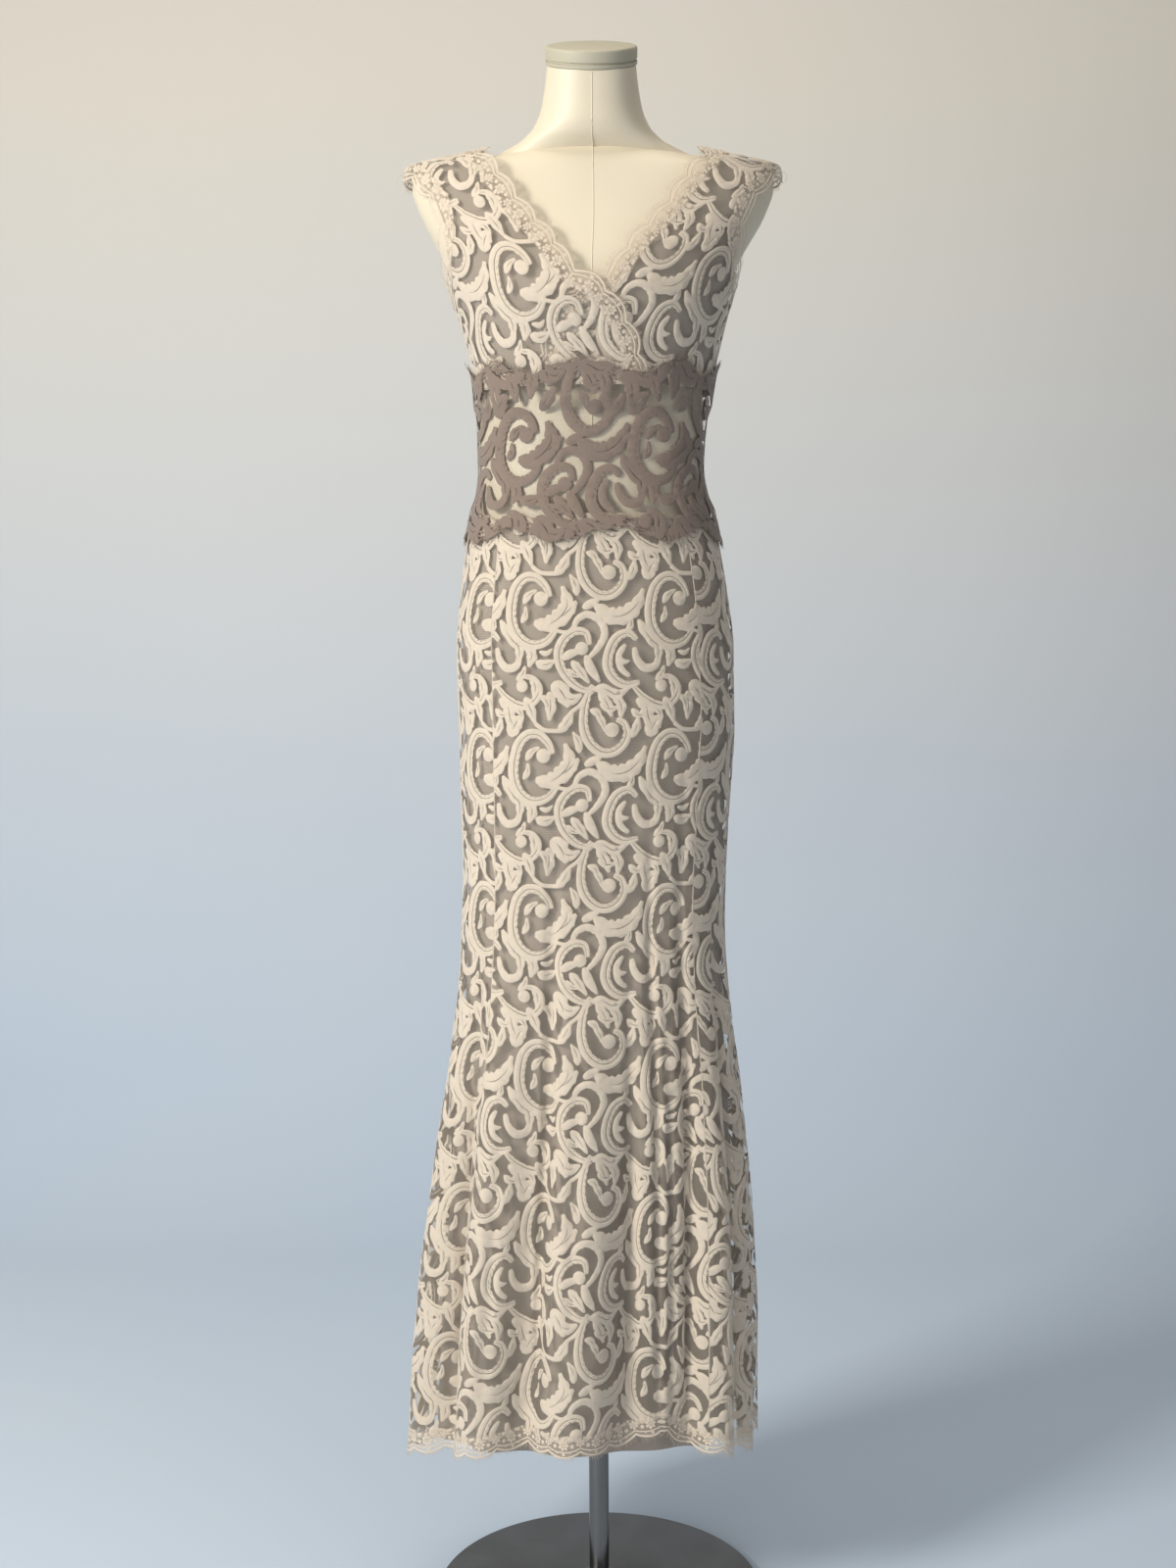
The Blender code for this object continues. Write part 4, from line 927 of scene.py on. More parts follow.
def trim_shapes(length):
    """One scallop's clothwork in metres: across from its left valley, up to the rim at 0."""
    across = np.linspace(0, length, 13)
    out = scallop_out(across, length)
    rim = np.stack([across, out - 0.0016], 1)
    cord = np.stack([across, out * 0.7 - 0.0052], 1)
    thin = np.full(13, 0.0007)
    half = length / 2
    shapes = [
        ribbon(rim, thin * 1.5, thin * 1.3), ribbon(cord, thin, thin),
        *petals(half, -0.0088, 7, 0.0040, 0.0044, 0.0031),
        *petals(0.0, -0.0112, 6, 0.0033, 0.0036, 0.0027, 0.5),
    ]
    return shapes + [round_shape(u * length, v, radius, 10) for u, v, radius in TRIM_DOTS]


class Strip:
    """A strip of cloth beside a path: p is metres along the path and q metres outwards from it."""

    def __init__(self, path, closed=False, wrap=0.0, low=-0.022, high=0.020):
        self.levels = np.linspace(low, high, 9)
        lines = [beside(path, -q, closed) for q in self.levels]
        if closed:
            path = list(path) + [(path[0][0] + wrap, path[0][1])]
            lines = [line + [(line[0][0] + wrap, line[0][1])] for line in lines]
        self.lines = np.array(lines)
        spots = worn_point(*np.array(path).T)
        self.run = np.concatenate([[0], np.cumsum(np.linalg.norm(np.diff(spots, axis=0), axis=1))])

    def place(self, p, q):
        """Angle and station of flat points."""
        i = np.interp(p, self.run, np.arange(len(self.run)))
        j = np.interp(q, self.levels, np.arange(len(self.levels)))
        i0 = np.minimum(i.astype(int), len(self.run) - 2)
        j0 = np.minimum(j.astype(int), len(self.levels) - 2)
        fi, fj = (i - i0)[:, None], (j - j0)[:, None]
        low = self.lines[j0, i0] * (1 - fi) + self.lines[j0, i0 + 1] * fi
        high = self.lines[j0 + 1, i0] * (1 - fi) + self.lines[j0 + 1, i0 + 1] * fi
        return (low * (1 - fj) + high * fj).T


def edging_strip(name, strip, count, off, side, look, nodes):
    """A galloon of rosettes with a scalloped rim, sewn along the edge of the lace."""
    total = strip.run[-1]
    length = total / count
    p = np.linspace(0, total, count * 14 + 1)
    far = np.stack([p, scallop_out(p, length)], 1)
    near = np.stack([p[::-2], np.full(len(p[::-2]), 0.0009 - EDGING_WIDE)], 1)
    edge = counter_clockwise(np.concatenate([far, near]))
    shapes = trim_shapes(length)
    cloth = [counter_clockwise(shape + (k * length, 0)) for k in range(-1, count + 1) for shape in shapes]
    flat, faces, net, relief = mesh_lace(edge, cloth, [], EDGING_STEP, TRIM_RELIEF)
    angle, station = strip.place(flat[:, 0], flat[:, 1])
    if side < 0:
        angle, faces = -angle, faces[:, ::-1]
    points = worn(angle, station, off(angle, station) + relief + EDGING_LIFT)
    obj = new_piece(name, points, faces, look, net, flat)
    face_out(obj)
    finish(obj, nodes)
    return obj, flat_area(edge), (float(total), EDGING_WIDE + SCALLOP_DEEP)


def face_out(obj):
    """Turns the mesh over if most of it faces inwards."""
    mesh = obj.data
    facing = 0.0
    for face in mesh.polygons:
        facing += face.normal.x * face.center.x + face.normal.y * face.center.y
    if facing < 0:
        mesh.flip_normals()


def fringe(name, roots, outward, normal, low, high, thick, look, spread, seed, body=BODY):
    """Eyelash threads: one short bent strand at each root."""
    rng = np.random.default_rng(seed)
    count = len(roots)
    side = np.cross(normal, outward)
    lean = rng.uniform(-spread, spread, count)[:, None]
    ahead = outward * np.cos(lean) + side * np.sin(lean) + normal * rng.uniform(0.02, 0.22, count)[:, None]
    ahead /= np.linalg.norm(ahead, axis=1)[:, None]
    bend = side * rng.uniform(-0.5, 0.5, count)[:, None] + normal * rng.uniform(-0.2, 0.15, count)[:, None]
    long = rng.uniform(low, high, count)[:, None]
    rings = []
    for t, slim in ((-0.12, 1.0), (0.35, 1.0), (0.7, 0.8), (1.0, 0.35)):
        spot = roots + ahead * long * t + bend * long * max(t, 0) ** 2
        for k in range(3):
            a = 2 * math.pi * k / 3
            rings.append(spot + (side * math.cos(a) + normal * math.sin(a)) * thick / 2 * slim)
    verts = np.stack(rings, 1)
    corners = np.array([
        (3 * r + k, 3 * r + (k + 1) % 3, 3 * r + 3 + (k + 1) % 3, 3 * r + 3 + k)
        for r in range(3) for k in range(3)
    ])
    tris = np.concatenate([corners[:, [0, 1, 2]], corners[:, [0, 2, 3]], [(0, 2, 1), (9, 10, 11)]])
    faces = (np.arange(count) * 12)[:, None, None] + tris[None]
    obj = new_piece(name, verts.reshape(-1, 3), faces.reshape(-1, 3), [look])
    bm = bmesh.new()
    bm.from_mesh(obj.data)
    bmesh.ops.recalc_face_normals(bm, faces=bm.faces)
    bm.to_mesh(obj.data)
    bm.free()
    return finish(obj, body=body)


def strip_rim(strip, count, off, side, spacing, reach=0.0):
    """Roots for threads along a strip's scalloped rim, with their outward and normal directions."""
    total = strip.run[-1]
    length = total / count
    p = np.arange(spacing / 2, total, spacing)
    q = scallop_out(p, length) + reach
    angle, station = strip.place(p, q)
    inner_angle, inner_station = strip.place(p, q - 0.002)
    if side < 0:
        angle, inner_angle = -angle, -inner_angle
    at = off(angle, station) + LACE_RELIEF / 2
    here = worn(angle, station, at)
    outward = here - worn(inner_angle, inner_station, at)
    outward /= np.linalg.norm(outward, axis=1)[:, None]
    return here, outward, surface_normal(angle, station)


def thread(name, points, thick, look, slot, body=BODY, sides=6, nodes=()):
    """A fine round cord through the points, as a mesh tube."""
    spine = np.array(points, float)
    ahead = np.gradient(spine, axis=0)
    ahead /= np.linalg.norm(ahead, axis=1)[:, None]
    up = np.where(np.abs(ahead[:, 2:]) > 0.9, [(1.0, 0, 0)], [(0, 0, 1.0)])
    side = np.cross(ahead, up)
    side /= np.linalg.norm(side, axis=1)[:, None]
    over = np.cross(side, ahead)
    bm = bmesh.new()
    rings = []
    for spot, across, lift in zip(spine, side, over):
        ring = []
        for k in range(sides):
            a = 2 * math.pi * k / sides
            ring.append(bm.verts.new(spot + (across * math.cos(a) + lift * math.sin(a)) * thick / 2))
        rings.append(ring)
    for lower, upper in zip(rings, rings[1:]):
        for k in range(sides):
            n = (k + 1) % sides
            bm.faces.new((lower[k], lower[n], upper[n], upper[k]))
    bm.faces.new(rings[0])
    bm.faces.new(rings[-1])
    return finish(object_from(name, bm, look), nodes, body)


def object_from(name, bm, *looks):
    bmesh.ops.recalc_face_normals(bm, faces=bm.faces)
    mesh = bpy.data.meshes.new(name)
    bm.to_mesh(mesh)
    bm.free()
    mesh.shade_smooth()
    mesh.set_sharp_from_angle(angle=math.radians(40))
    for look in looks:
        mesh.materials.append(look)
    obj = bpy.data.objects.new(name, mesh)
    bpy.context.scene.collection.objects.link(obj)
    return obj


# Materials


class Tree:
    """Builds shader nodes. A value may be a socket to link from or a number to set."""

    def __init__(self, tree):
        self.tree = tree

    def node(self, kind, settings=None, **values):
        made = self.tree.nodes.new(kind)
        for key, value in (settings or {}).items():
            setattr(made, key, value)
        for key, value in values.items():
            socket = made.inputs[int(key[1:])] if key[0] == "i" and key[1:].isdigit() else made.inputs[key]
            self.set(socket, value)
        return made

    def set(self, socket, value):
        if isinstance(value, bpy.types.NodeSocket):
            self.tree.links.new(value, socket)
        else:
            socket.default_value = value

    def math(self, operation, *values):
        made = self.node("ShaderNodeMath", {"operation": operation})
        for socket, value in zip(made.inputs, values):
            self.set(socket, value)
        return made.outputs[0]

    def vector(self, operation, *values):
        made = self.node("ShaderNodeVectorMath", {"operation": operation})
        for socket, value in zip(made.inputs, values):
            self.set(socket, value)
        return made.outputs["Value" if operation in ("DOT_PRODUCT", "LENGTH") else "Vector"]

    def mix(self, factor, first, second):
        made = self.node("ShaderNodeMix", {"data_type": "RGBA"})
        self.set(made.inputs["Factor"], factor)
        self.set(made.inputs[6], first)
        self.set(made.inputs[7], second)
        return made.outputs[2]

    def ramp(self, value, low, high):
        """0 at low and 1 at high, clamped."""
        made = self.node("ShaderNodeMapRange")
        for socket, item in zip(made.inputs, (value, low, high, 0.0, 1.0)):
            self.set(socket, item)
        return made.outputs[0]

    def noise(self, vector, scale, detail=2.0):
        made = self.node("ShaderNodeTexNoise", Scale=scale, Detail=detail, Vector=vector)
        return made.outputs[0]


def new_group(name, inputs, outputs):
    """An empty node group with float or vector sockets, its Tree, and its two ends."""
    group = bpy.data.node_groups.new(name, "ShaderNodeTree")
    for label, kind, value in inputs:
        socket = group.interface.new_socket(name=label, in_out="INPUT", socket_type=f"NodeSocket{kind}")
        if value is not None:
            socket.default_value = value
    for label, kind in outputs:
        group.interface.new_socket(name=label, in_out="OUTPUT", socket_type=f"NodeSocket{kind}")
    start = group.nodes.new("NodeGroupInput")
    end = group.nodes.new("NodeGroupOutput")
    return group, Tree(group), start.outputs, end.inputs


def net_group():
    """A hexagonal bobbin net: 1 on its threads. Cell is the metres across a mesh."""
    name = "Hexagon net"
    if name in bpy.data.node_groups:
        return bpy.data.node_groups[name]
    group, tree, start, end = new_group(
        name, [("Vector", "Vector", None), ("Cell", "Float", 0.002), ("Thread", "Float", 0.14)],
        [("Mask", "Float")],
    )
    spot = tree.vector("DIVIDE", start["Vector"], combined(tree, start["Cell"]))
    size, half = (1.0, 1.7320508, 1.0), (0.5, 0.8660254, 0.5)
    first = tree.vector("SUBTRACT", tree.vector("WRAP", spot, size, (0.0, 0.0, 0.0)), half)
    moved = tree.vector("WRAP", tree.vector("SUBTRACT", spot, half), size, (0.0, 0.0, 0.0))
    second = tree.vector("SUBTRACT", moved, half)
    flat = (1.0, 1.0, 0.0)
    first, second = tree.vector("MULTIPLY", first, flat), tree.vector("MULTIPLY", second, flat)
    nearer = tree.math("LESS_THAN", tree.vector("LENGTH", first), tree.vector("LENGTH", second))
    pick = tree.node("ShaderNodeMix", {"data_type": "VECTOR"})
    tree.set(pick.inputs["Factor"], nearer)
    tree.set(pick.inputs[4], second)
    tree.set(pick.inputs[5], first)
    inside = tree.vector("ABSOLUTE", pick.outputs[1])
    parts = tree.node("ShaderNodeSeparateXYZ", i0=inside)
    slanted = tree.vector("DOT_PRODUCT", inside, (0.5, 0.8660254, 0.0))
    away = tree.math("SUBTRACT", 0.5, tree.math("MAXIMUM", parts.outputs["X"], slanted))
    tree.set(end["Mask"], tree.math("LESS_THAN", away, start["Thread"]))
    return group


def combined(tree, value):
    """One number as all three parts of a vector."""
    made = tree.node("ShaderNodeCombineXYZ", i0=value, i1=value, i2=value)
    return made.outputs[0]


def weave_group():
    """Closely laid threads: a height and a mask that varies along them."""
    name = "Laid threads"
    if name in bpy.data.node_groups:
        return bpy.data.node_groups[name]
    group, tree, start, end = new_group(
        name, [("Vector", "Vector", None), ("Pitch", "Float", 0.0007)],
        [("Height", "Float"), ("Shade", "Float")],
    )
    spot = tree.vector("DIVIDE", start["Vector"], combined(tree, start["Pitch"]))
    parts = tree.node("ShaderNodeSeparateXYZ", i0=spot)
    wobble = tree.noise(spot, 0.35)
    warp = tree.math("SINE", tree.math("MULTIPLY", tree.math("ADD", parts.outputs["X"], wobble), 6.2832))
    weft = tree.math("SINE", tree.math("MULTIPLY", tree.math("ADD", parts.outputs["Y"], wobble), 6.2832))
    woven = tree.math("ADD", tree.math("MULTIPLY", warp, 0.5), tree.math("MULTIPLY", weft, 0.5))
    tree.set(end["Height"], woven)
    tree.set(end["Shade"], tree.ramp(tree.noise(spot, 0.12, 3.0), 0.3, 0.7))
    return group


def wear_group():
    """A slow change over a surface, read in object coordinates."""
    name = "Slow variation"
    if name in bpy.data.node_groups:
        return bpy.data.node_groups[name]
    group, tree, start, end = new_group(
        name, [("Vector", "Vector", None), ("Scale", "Float", 14.0)], [("Shade", "Float")],
    )
    made = tree.node("ShaderNodeTexNoise", Vector=start["Vector"], Scale=start["Scale"], Detail=3.0)
    tree.set(end["Shade"], tree.ramp(made.outputs[0], 0.3, 0.7))
    return group


def place_group(tree, group, **values):
    made = tree.node("ShaderNodeGroup", {"node_tree": group})
    for key, value in values.items():
        tree.set(made.inputs[key], value)
    return made.outputs


def new_material(name):
    """An empty material with a Principled BSDF: the material, its Tree and the shader."""
    made = bpy.data.materials.new(name)
    made.use_nodes = True
    return made, Tree(made.node_tree), made.node_tree.nodes["Principled BSDF"]


def shade_of(colour, times):
    """A colour made lighter or darker."""
    return (*[min(1.0, c * times) for c in colour[:3]], 1.0)


def cloth_look(name, colour, net_cell=None, thread=0.14, rough=0.9, sheen=0.25, pitch=0.0007, depth=0.00012):
    """Cloth of closely laid threads, or a see-through net of them when net_cell is given."""
    made, tree, shader = new_material(name)
    flat = tree.node("ShaderNodeUVMap", {"uv_map": "Cloth"}).outputs[0]
    around = tree.node("ShaderNodeTexCoord").outputs["Object"]
    weave = place_group(tree, weave_group(), Vector=flat, Pitch=pitch)
    slow = place_group(tree, wear_group(), Vector=around, Scale=14.0)
    mottled = tree.mix(weave["Shade"], shade_of(colour, 0.90), shade_of(colour, 1.06))
    dyed = tree.mix(slow["Shade"], shade_of(colour, 0.93), shade_of(colour, 1.05))
    both = tree.mix(0.5, mottled, dyed)
    tree.set(shader.inputs["Base Color"], both)
    bump = tree.node("ShaderNodeBump", Strength=0.6, Distance=depth, Height=weave["Height"])
    tree.set(shader.inputs["Normal"], bump.outputs[0])
    shader.inputs["Roughness"].default_value = rough
    shader.inputs["Sheen Weight"].default_value = sheen
    shader.inputs["Sheen Roughness"].default_value = 0.5
    if net_cell:
        net = place_group(tree, net_group(), Vector=flat, Cell=net_cell, Thread=thread)
        tree.set(shader.inputs["Alpha"], net["Mask"])
    return made


def thread_look(name, colour):
    """Matte yarn that varies a little from thread to thread."""
    made, tree, shader = new_material(name)
    around = tree.node("ShaderNodeTexCoord").outputs["Object"]
    slow = place_group(tree, wear_group(), Vector=around, Scale=160.0)
    dyed = tree.mix(slow["Shade"], shade_of(colour, 0.85), shade_of(colour, 1.05))
    tree.set(shader.inputs["Base Color"], dyed)
    shader.inputs["Roughness"].default_value = 0.9
    shader.inputs["Sheen Weight"].default_value = 0.2
    return made


def form_look(name, colour, rough=0.42):
    """Smooth jersey over a hard form, with a faint grain."""
    made, tree, shader = new_material(name)
    around = tree.node("ShaderNodeTexCoord").outputs["Object"]
    slow = place_group(tree, wear_group(), Vector=around, Scale=7.0)
    aged = tree.mix(slow["Shade"], shade_of(colour, 0.96), shade_of(colour, 1.02))
    tree.set(shader.inputs["Base Color"], aged)
    grain = tree.noise(around, 900.0)
    bump = tree.node("ShaderNodeBump", Strength=0.15, Distance=0.0002, Height=grain)
    tree.set(shader.inputs["Normal"], bump.outputs[0])
    rough_socket = tree.ramp(tree.noise(around, 40.0), 0.0, 1.0)
    tree.set(shader.inputs["Roughness"], tree.math("ADD", tree.math("MULTIPLY", rough_socket, 0.12), rough))
    return made


def steel_look(name, colour, round_brushing, rough=0.3):
    """Brushed steel. The lines run round the base, or along the pole."""
    made, tree, shader = new_material(name)
    around = tree.node("ShaderNodeTexCoord").outputs["Object"]
    parts = tree.node("ShaderNodeSeparateXYZ", i0=around)
    if round_brushing:
        flat = tree.node("ShaderNodeCombineXYZ", i0=parts.outputs["X"], i1=parts.outputs["Y"])
        radius = tree.vector("LENGTH", flat.outputs[0])
        lines = tree.node("ShaderNodeCombineXYZ", i0=tree.math("MULTIPLY", radius, 900.0))
    else:
        turn = tree.math("ARCTAN2", parts.outputs["Y"], parts.outputs["X"])
        lines = tree.node(
            "ShaderNodeCombineXYZ", i0=tree.math("MULTIPLY", turn, 30.0),
            i1=tree.math("MULTIPLY", parts.outputs["Z"], 9.0),
        )
    brushed = tree.noise(lines.outputs[0], 1.0, 4.0)
    slow = place_group(tree, wear_group(), Vector=around, Scale=18.0)
    tree.set(shader.inputs["Base Color"], tree.mix(brushed, shade_of(colour, 0.82), shade_of(colour, 1.12)))
    tree.set(
        shader.inputs["Roughness"],
        tree.math("ADD", tree.math("MULTIPLY", tree.math("ADD", brushed, slow["Shade"]), 0.11), rough - 0.06),
    )
    bump = tree.node("ShaderNodeBump", Strength=0.25, Distance=0.0001, Height=brushed)
    tree.set(shader.inputs["Normal"], bump.outputs[0])
    shader.inputs["Metallic"].default_value = 1.0
    return made


def material(name, maker, *values, **settings):
    """The named material, made the first time that it is asked for."""
    return bpy.data.materials.get(name) or maker(name, *values, **settings)


# What a user may change


class DressSettings(bpy.types.PropertyGroup):
    """Colours and sizes of the dress's cloth."""

    lace_colour: bpy.props.FloatVectorProperty(
        name="Lace", description="Colour of the bodice's and the skirt's lace", subtype="COLOR",
        size=3, min=0, max=1, default=(0.66, 0.57, 0.46),
    )
    band_colour: bpy.props.FloatVectorProperty(
        name="Waist band", description="Colour of the lace at the waist", subtype="COLOR",
        size=3, min=0, max=1, default=(0.235, 0.178, 0.145),
    )
    trim_colour: bpy.props.FloatVectorProperty(
        name="Edging", description="Colour of the scalloped edgings", subtype="COLOR",
        size=3, min=0, max=1, default=(0.70, 0.595, 0.475),
    )
    lining_colour: bpy.props.FloatVectorProperty(
        name="Lining", description="Colour of the lining", subtype="COLOR",
        size=3, min=0, max=1, default=(0.31, 0.262, 0.218),
    )
    net_cell: bpy.props.FloatProperty(
        name="Net mesh", description="Width of a mesh of the lace's net", unit="LENGTH",
        default=0.0021, min=0.0005, max=0.01,
    )
    lash_length: bpy.props.FloatProperty(
        name="Eyelash threads", description="Longest thread along the edgings", unit="LENGTH",
        default=0.0068, min=0.001, max=0.02,
    )
    lash_spacing: bpy.props.FloatProperty(
        name="Thread spacing", description="Distance between eyelash threads", unit="LENGTH",
        default=0.0012, min=0.0005, max=0.01,
    )


class FormSettings(bpy.types.PropertyGroup):
    """Colours and sizes of the dress form and its stand."""

    form_colour: bpy.props.FloatVectorProperty(
        name="Form", description="Colour of the form's cover", subtype="COLOR",
        size=3, min=0, max=1, default=(0.72, 0.645, 0.50),
    )
    cap_colour: bpy.props.FloatVectorProperty(
        name="Neck cap", description="Colour of the neck's cap", subtype="COLOR",
        size=3, min=0, max=1, default=(0.47, 0.44, 0.34),
    )
    steel_colour: bpy.props.FloatVectorProperty(
        name="Steel", description="Colour of the pole and the base", subtype="COLOR",
        size=3, min=0, max=1, default=(0.34, 0.335, 0.33),
    )
    base_radius: bpy.props.FloatProperty(
        name="Base radius", description="Radius of the round base", unit="LENGTH",
        default=0.182, min=0.05, max=0.4,
    )
    pole_radius: bpy.props.FloatProperty(
        name="Pole radius", description="Radius of the pole", unit="LENGTH",
        default=0.0111, min=0.004, max=0.03,
    )


def lace_looks(context):
    """The lace's clothwork and its net."""
    dress = context.scene.dress
    return [
        material("Lace clothwork", cloth_look, dress.lace_colour),
        material("Lace net", cloth_look, dress.lace_colour, net_cell=dress.net_cell, thread=0.055),
    ]


def band_looks(context):
    dress = context.scene.dress
    return [
        material("Waist band clothwork", cloth_look, dress.band_colour),
        material("Waist band net", cloth_look, dress.band_colour, net_cell=dress.net_cell, thread=0.045),
    ]


def trim_looks(context):
    dress = context.scene.dress
    return [
        material("Edging clothwork", cloth_look, dress.trim_colour),
        material("Edging net", cloth_look, dress.trim_colour, net_cell=dress.net_cell * 0.8, thread=0.08),
    ]


# The pieces


def lathe(name, profile, steps, look, nodes, place=None, bevels=()):
    """A turned piece: profile is (radius, height), from the top of the outside down."""
    bm = bmesh.new()
    verts = [bm.verts.new((radius, 0, height)) for radius, height in profile]
    edges = [bm.edges.new(pair) for pair in zip(verts, verts[1:])]
    bmesh.ops.spin(
        bm, geom=verts + edges, cent=(0, 0, 0), axis=(0, 0, 1), angle=2 * math.pi, steps=steps,
        use_merge=True,
    )
    bmesh.ops.remove_doubles(bm, verts=bm.verts, dist=1e-6)
    bmesh.ops.recalc_face_normals(bm, faces=bm.faces)
    for height, radius, offset in bevels:
        on_ring = {
            v for v in bm.verts
            if abs(v.co.z - height) < 1e-5 and abs(math.hypot(v.co.x, v.co.y) - radius) < 1e-5
        }
        ring = [edge for edge in bm.edges if on_ring.issuperset(edge.verts)]
        bmesh.ops.bevel(
            bm, geom=ring, offset=offset, offset_type="OFFSET", segments=3, profile=0.5, affect="EDGES",
            material=-1,
        )
    if place is not None:
        bmesh.ops.transform(bm, matrix=place, verts=bm.verts)
    return finish(object_from(name, bm, look), nodes)


class DRESS_OT_stand(bpy.types.Operator):
    """Makes the round steel base and the pole with its foot"""

    bl_idname = "dress.stand"
    bl_label = "Stand"

    def execute(self, context):
        form = context.scene.dress_form
        top, wide, pole = BASE_THICK, form.base_radius, form.pole_radius
        dull = material("Brushed base", steel_look, shade_of(form.steel_colour, 0.48), True, rough=0.45)
        lathe(
            "base_plate", [(0, top), (wide, top), (wide, 0), (0, 0)], 128, dull, ["stand_base"],
            bevels=[(top, wide, 0.0018), (0, wide, 0.0006)],
        )
        bright = material("Brushed pole", steel_look, shade_of(form.steel_colour, 0.55), False, rough=0.12)
        foot = top + CLEAR
        foot_top = foot + FOOT_HIGH
        profile = [
            (0, POLE_TOP), (pole, POLE_TOP), (pole, foot_top), (FOOT_RADIUS, foot_top), (FOOT_RADIUS, foot),
            (0, foot),
        ]
        lathe(
            "pole_and_foot", profile, 64, bright, ["stand_pole"],
            bevels=[(foot_top, FOOT_RADIUS, 0.0025), (foot_top, pole, 0.001)],
        )
        return {"FINISHED"}


def form_lift(angle, station):
    """The form's shoulder seams carry the lining, and its waist fills the unlined band."""
    turn = (angle + 90) % 180
    near = np.exp(-((turn / SHOULDER_SEAM_HALF) ** 2)) + np.exp(-(((turn - 180) / SHOULDER_SEAM_HALF) ** 2))
    seam = SHOULDER_SEAM_LIFT * near * ease((station - 0.005) / 0.04) * ease((0.135 - station) / 0.04)
    begin = ease((station - WAIST_LIFT_FIRST) / WAIST_LIFT_EASE)
    end = ease((WAIST_LIFT_LAST - station) / WAIST_LIFT_EASE)
    return seam + WAIST_LIFT * begin * end


def neck_ring(height, angle):
    """Points of the form's neck round one height, leaning down in front."""
    half, front, back, shift, tilt = read_smooth(NECK[NECK[:, 0].argsort()], [height])[0]
    x, y = section_point(angle, np.tile([0.0, half, front, back], (len(angle), 1)))
    lean = math.radians(tilt)
    return np.column_stack([x, shift + y * math.cos(lean), height + y * math.sin(lean)])


def form_surface(angle, station):
    """Points of the form below its neck."""
    return worn(angle, station, -FORM_INSET - body_drop(station) + form_lift(angle, station), "form")


class DRESS_OT_form(bpy.types.Operator):
    """Makes the dress form: the torso, its seams and the neck's cap"""

    bl_idname = "dress.form"
    bl_label = "Dress form"

    def execute(self, context):
        form = context.scene.dress_form
        cover = material("Form cover", form_look, form.form_colour)
        sides = 96
        angle = np.arange(sides) * 360.0 / sides
        rings = [neck_ring(height, angle) for height in np.linspace(NECK[0, 0], NECK[-1, 0], 12)]
        for station in [*np.arange(0.006, 0.26, 0.010), *np.arange(0.27, 0.70, 0.020), FORM_FOOT]:
            rings.append(form_surface(angle, np.full(sides, station)))
        lowest = rings[-1]
        for shrink, drop in FORM_FOOT_RINGS:
            rings.append(np.column_stack([lowest[:, :2] * shrink, lowest[:, 2] - drop]))
        bm = bmesh.new()
        rings = [[bm.verts.new(spot) for spot in ring] for ring in rings]
        for above, below in zip(rings, rings[1:]):
            for i in range(sides):
                k = (i + 1) % sides
                bm.faces.new((above[i], below[i], below[k], above[k]))
        bm.faces.new(rings[0])
        bm.faces.new(rings[-1])
        finish(object_from("form_body", bm, cover), ["form_torso"])

        for name, turn in (("form_seam_front", 0.0), ("form_seam_back", 180.0)):
            heights = np.linspace(NECK[0, 0] - 0.003, NECK[-1, 0], 10)
            neck = [neck_ring(height, np.array([turn]))[0] for height in heights]
            row = np.arange(0.008, 0.40, 0.01)
            spots = form_surface(np.full(len(row), turn), row)
            thread(name, [*neck, *spots], 0.0011, cover, "form", sides=8)

        cap = material("Neck cap", form_look, form.cap_colour, rough=0.5)
        place = Matrix.Translation((0, NECK[0, 4], NECK[0, 0])) @ Matrix.Rotation(CAP_TILT, 4, "X")
        rim, groove = CAP_RADIUS, CAP_RADIUS - 0.0016
        profile = [
            (0, CAP_THICK), (rim, CAP_THICK), (rim, 0.0065), (groove, 0.0060), (groove, 0.0045),
            (rim, 0.0040), (rim, CLEAR), (0, CLEAR),
        ]
        lathe(
            "neck_cap", profile, 96, cap, ["form_neck_cap"], place,
            bevels=[(CAP_THICK, rim, 0.003), (CLEAR, rim, 0.0006)],
        )
        return {"FINISHED"}


def cloth_shell(name, outline, middle, off, layer, look, nodes):
    """A plain lining: a thin shell laid on the figure."""
    outline = fine_outline(outline)
    low, high = outline.min(axis=0), outline.max(axis=0)
    cut = Cut(low[0], high[0], middle, low[1], high[1], layer)
    edge = np.stack([cut.across(outline[:, 0], outline[:, 1]), -outline[:, 1]], 1)
    flat, faces, _, _ = mesh_lace(edge, [], [], LINING_STEP)
    station = -flat[:, 1]
    angle = cut.angle(flat[:, 0], station)
    points = worn(angle, station, off(angle, station), layer)
    obj = new_piece(name, points, faces, [look], flat=flat)
    face_out(obj)
    thick = obj.modifiers.new("Thickness", "SOLIDIFY")
    thick.thickness = LINING_THICK
    thick.offset = -1
    finish(obj, nodes)
    return obj


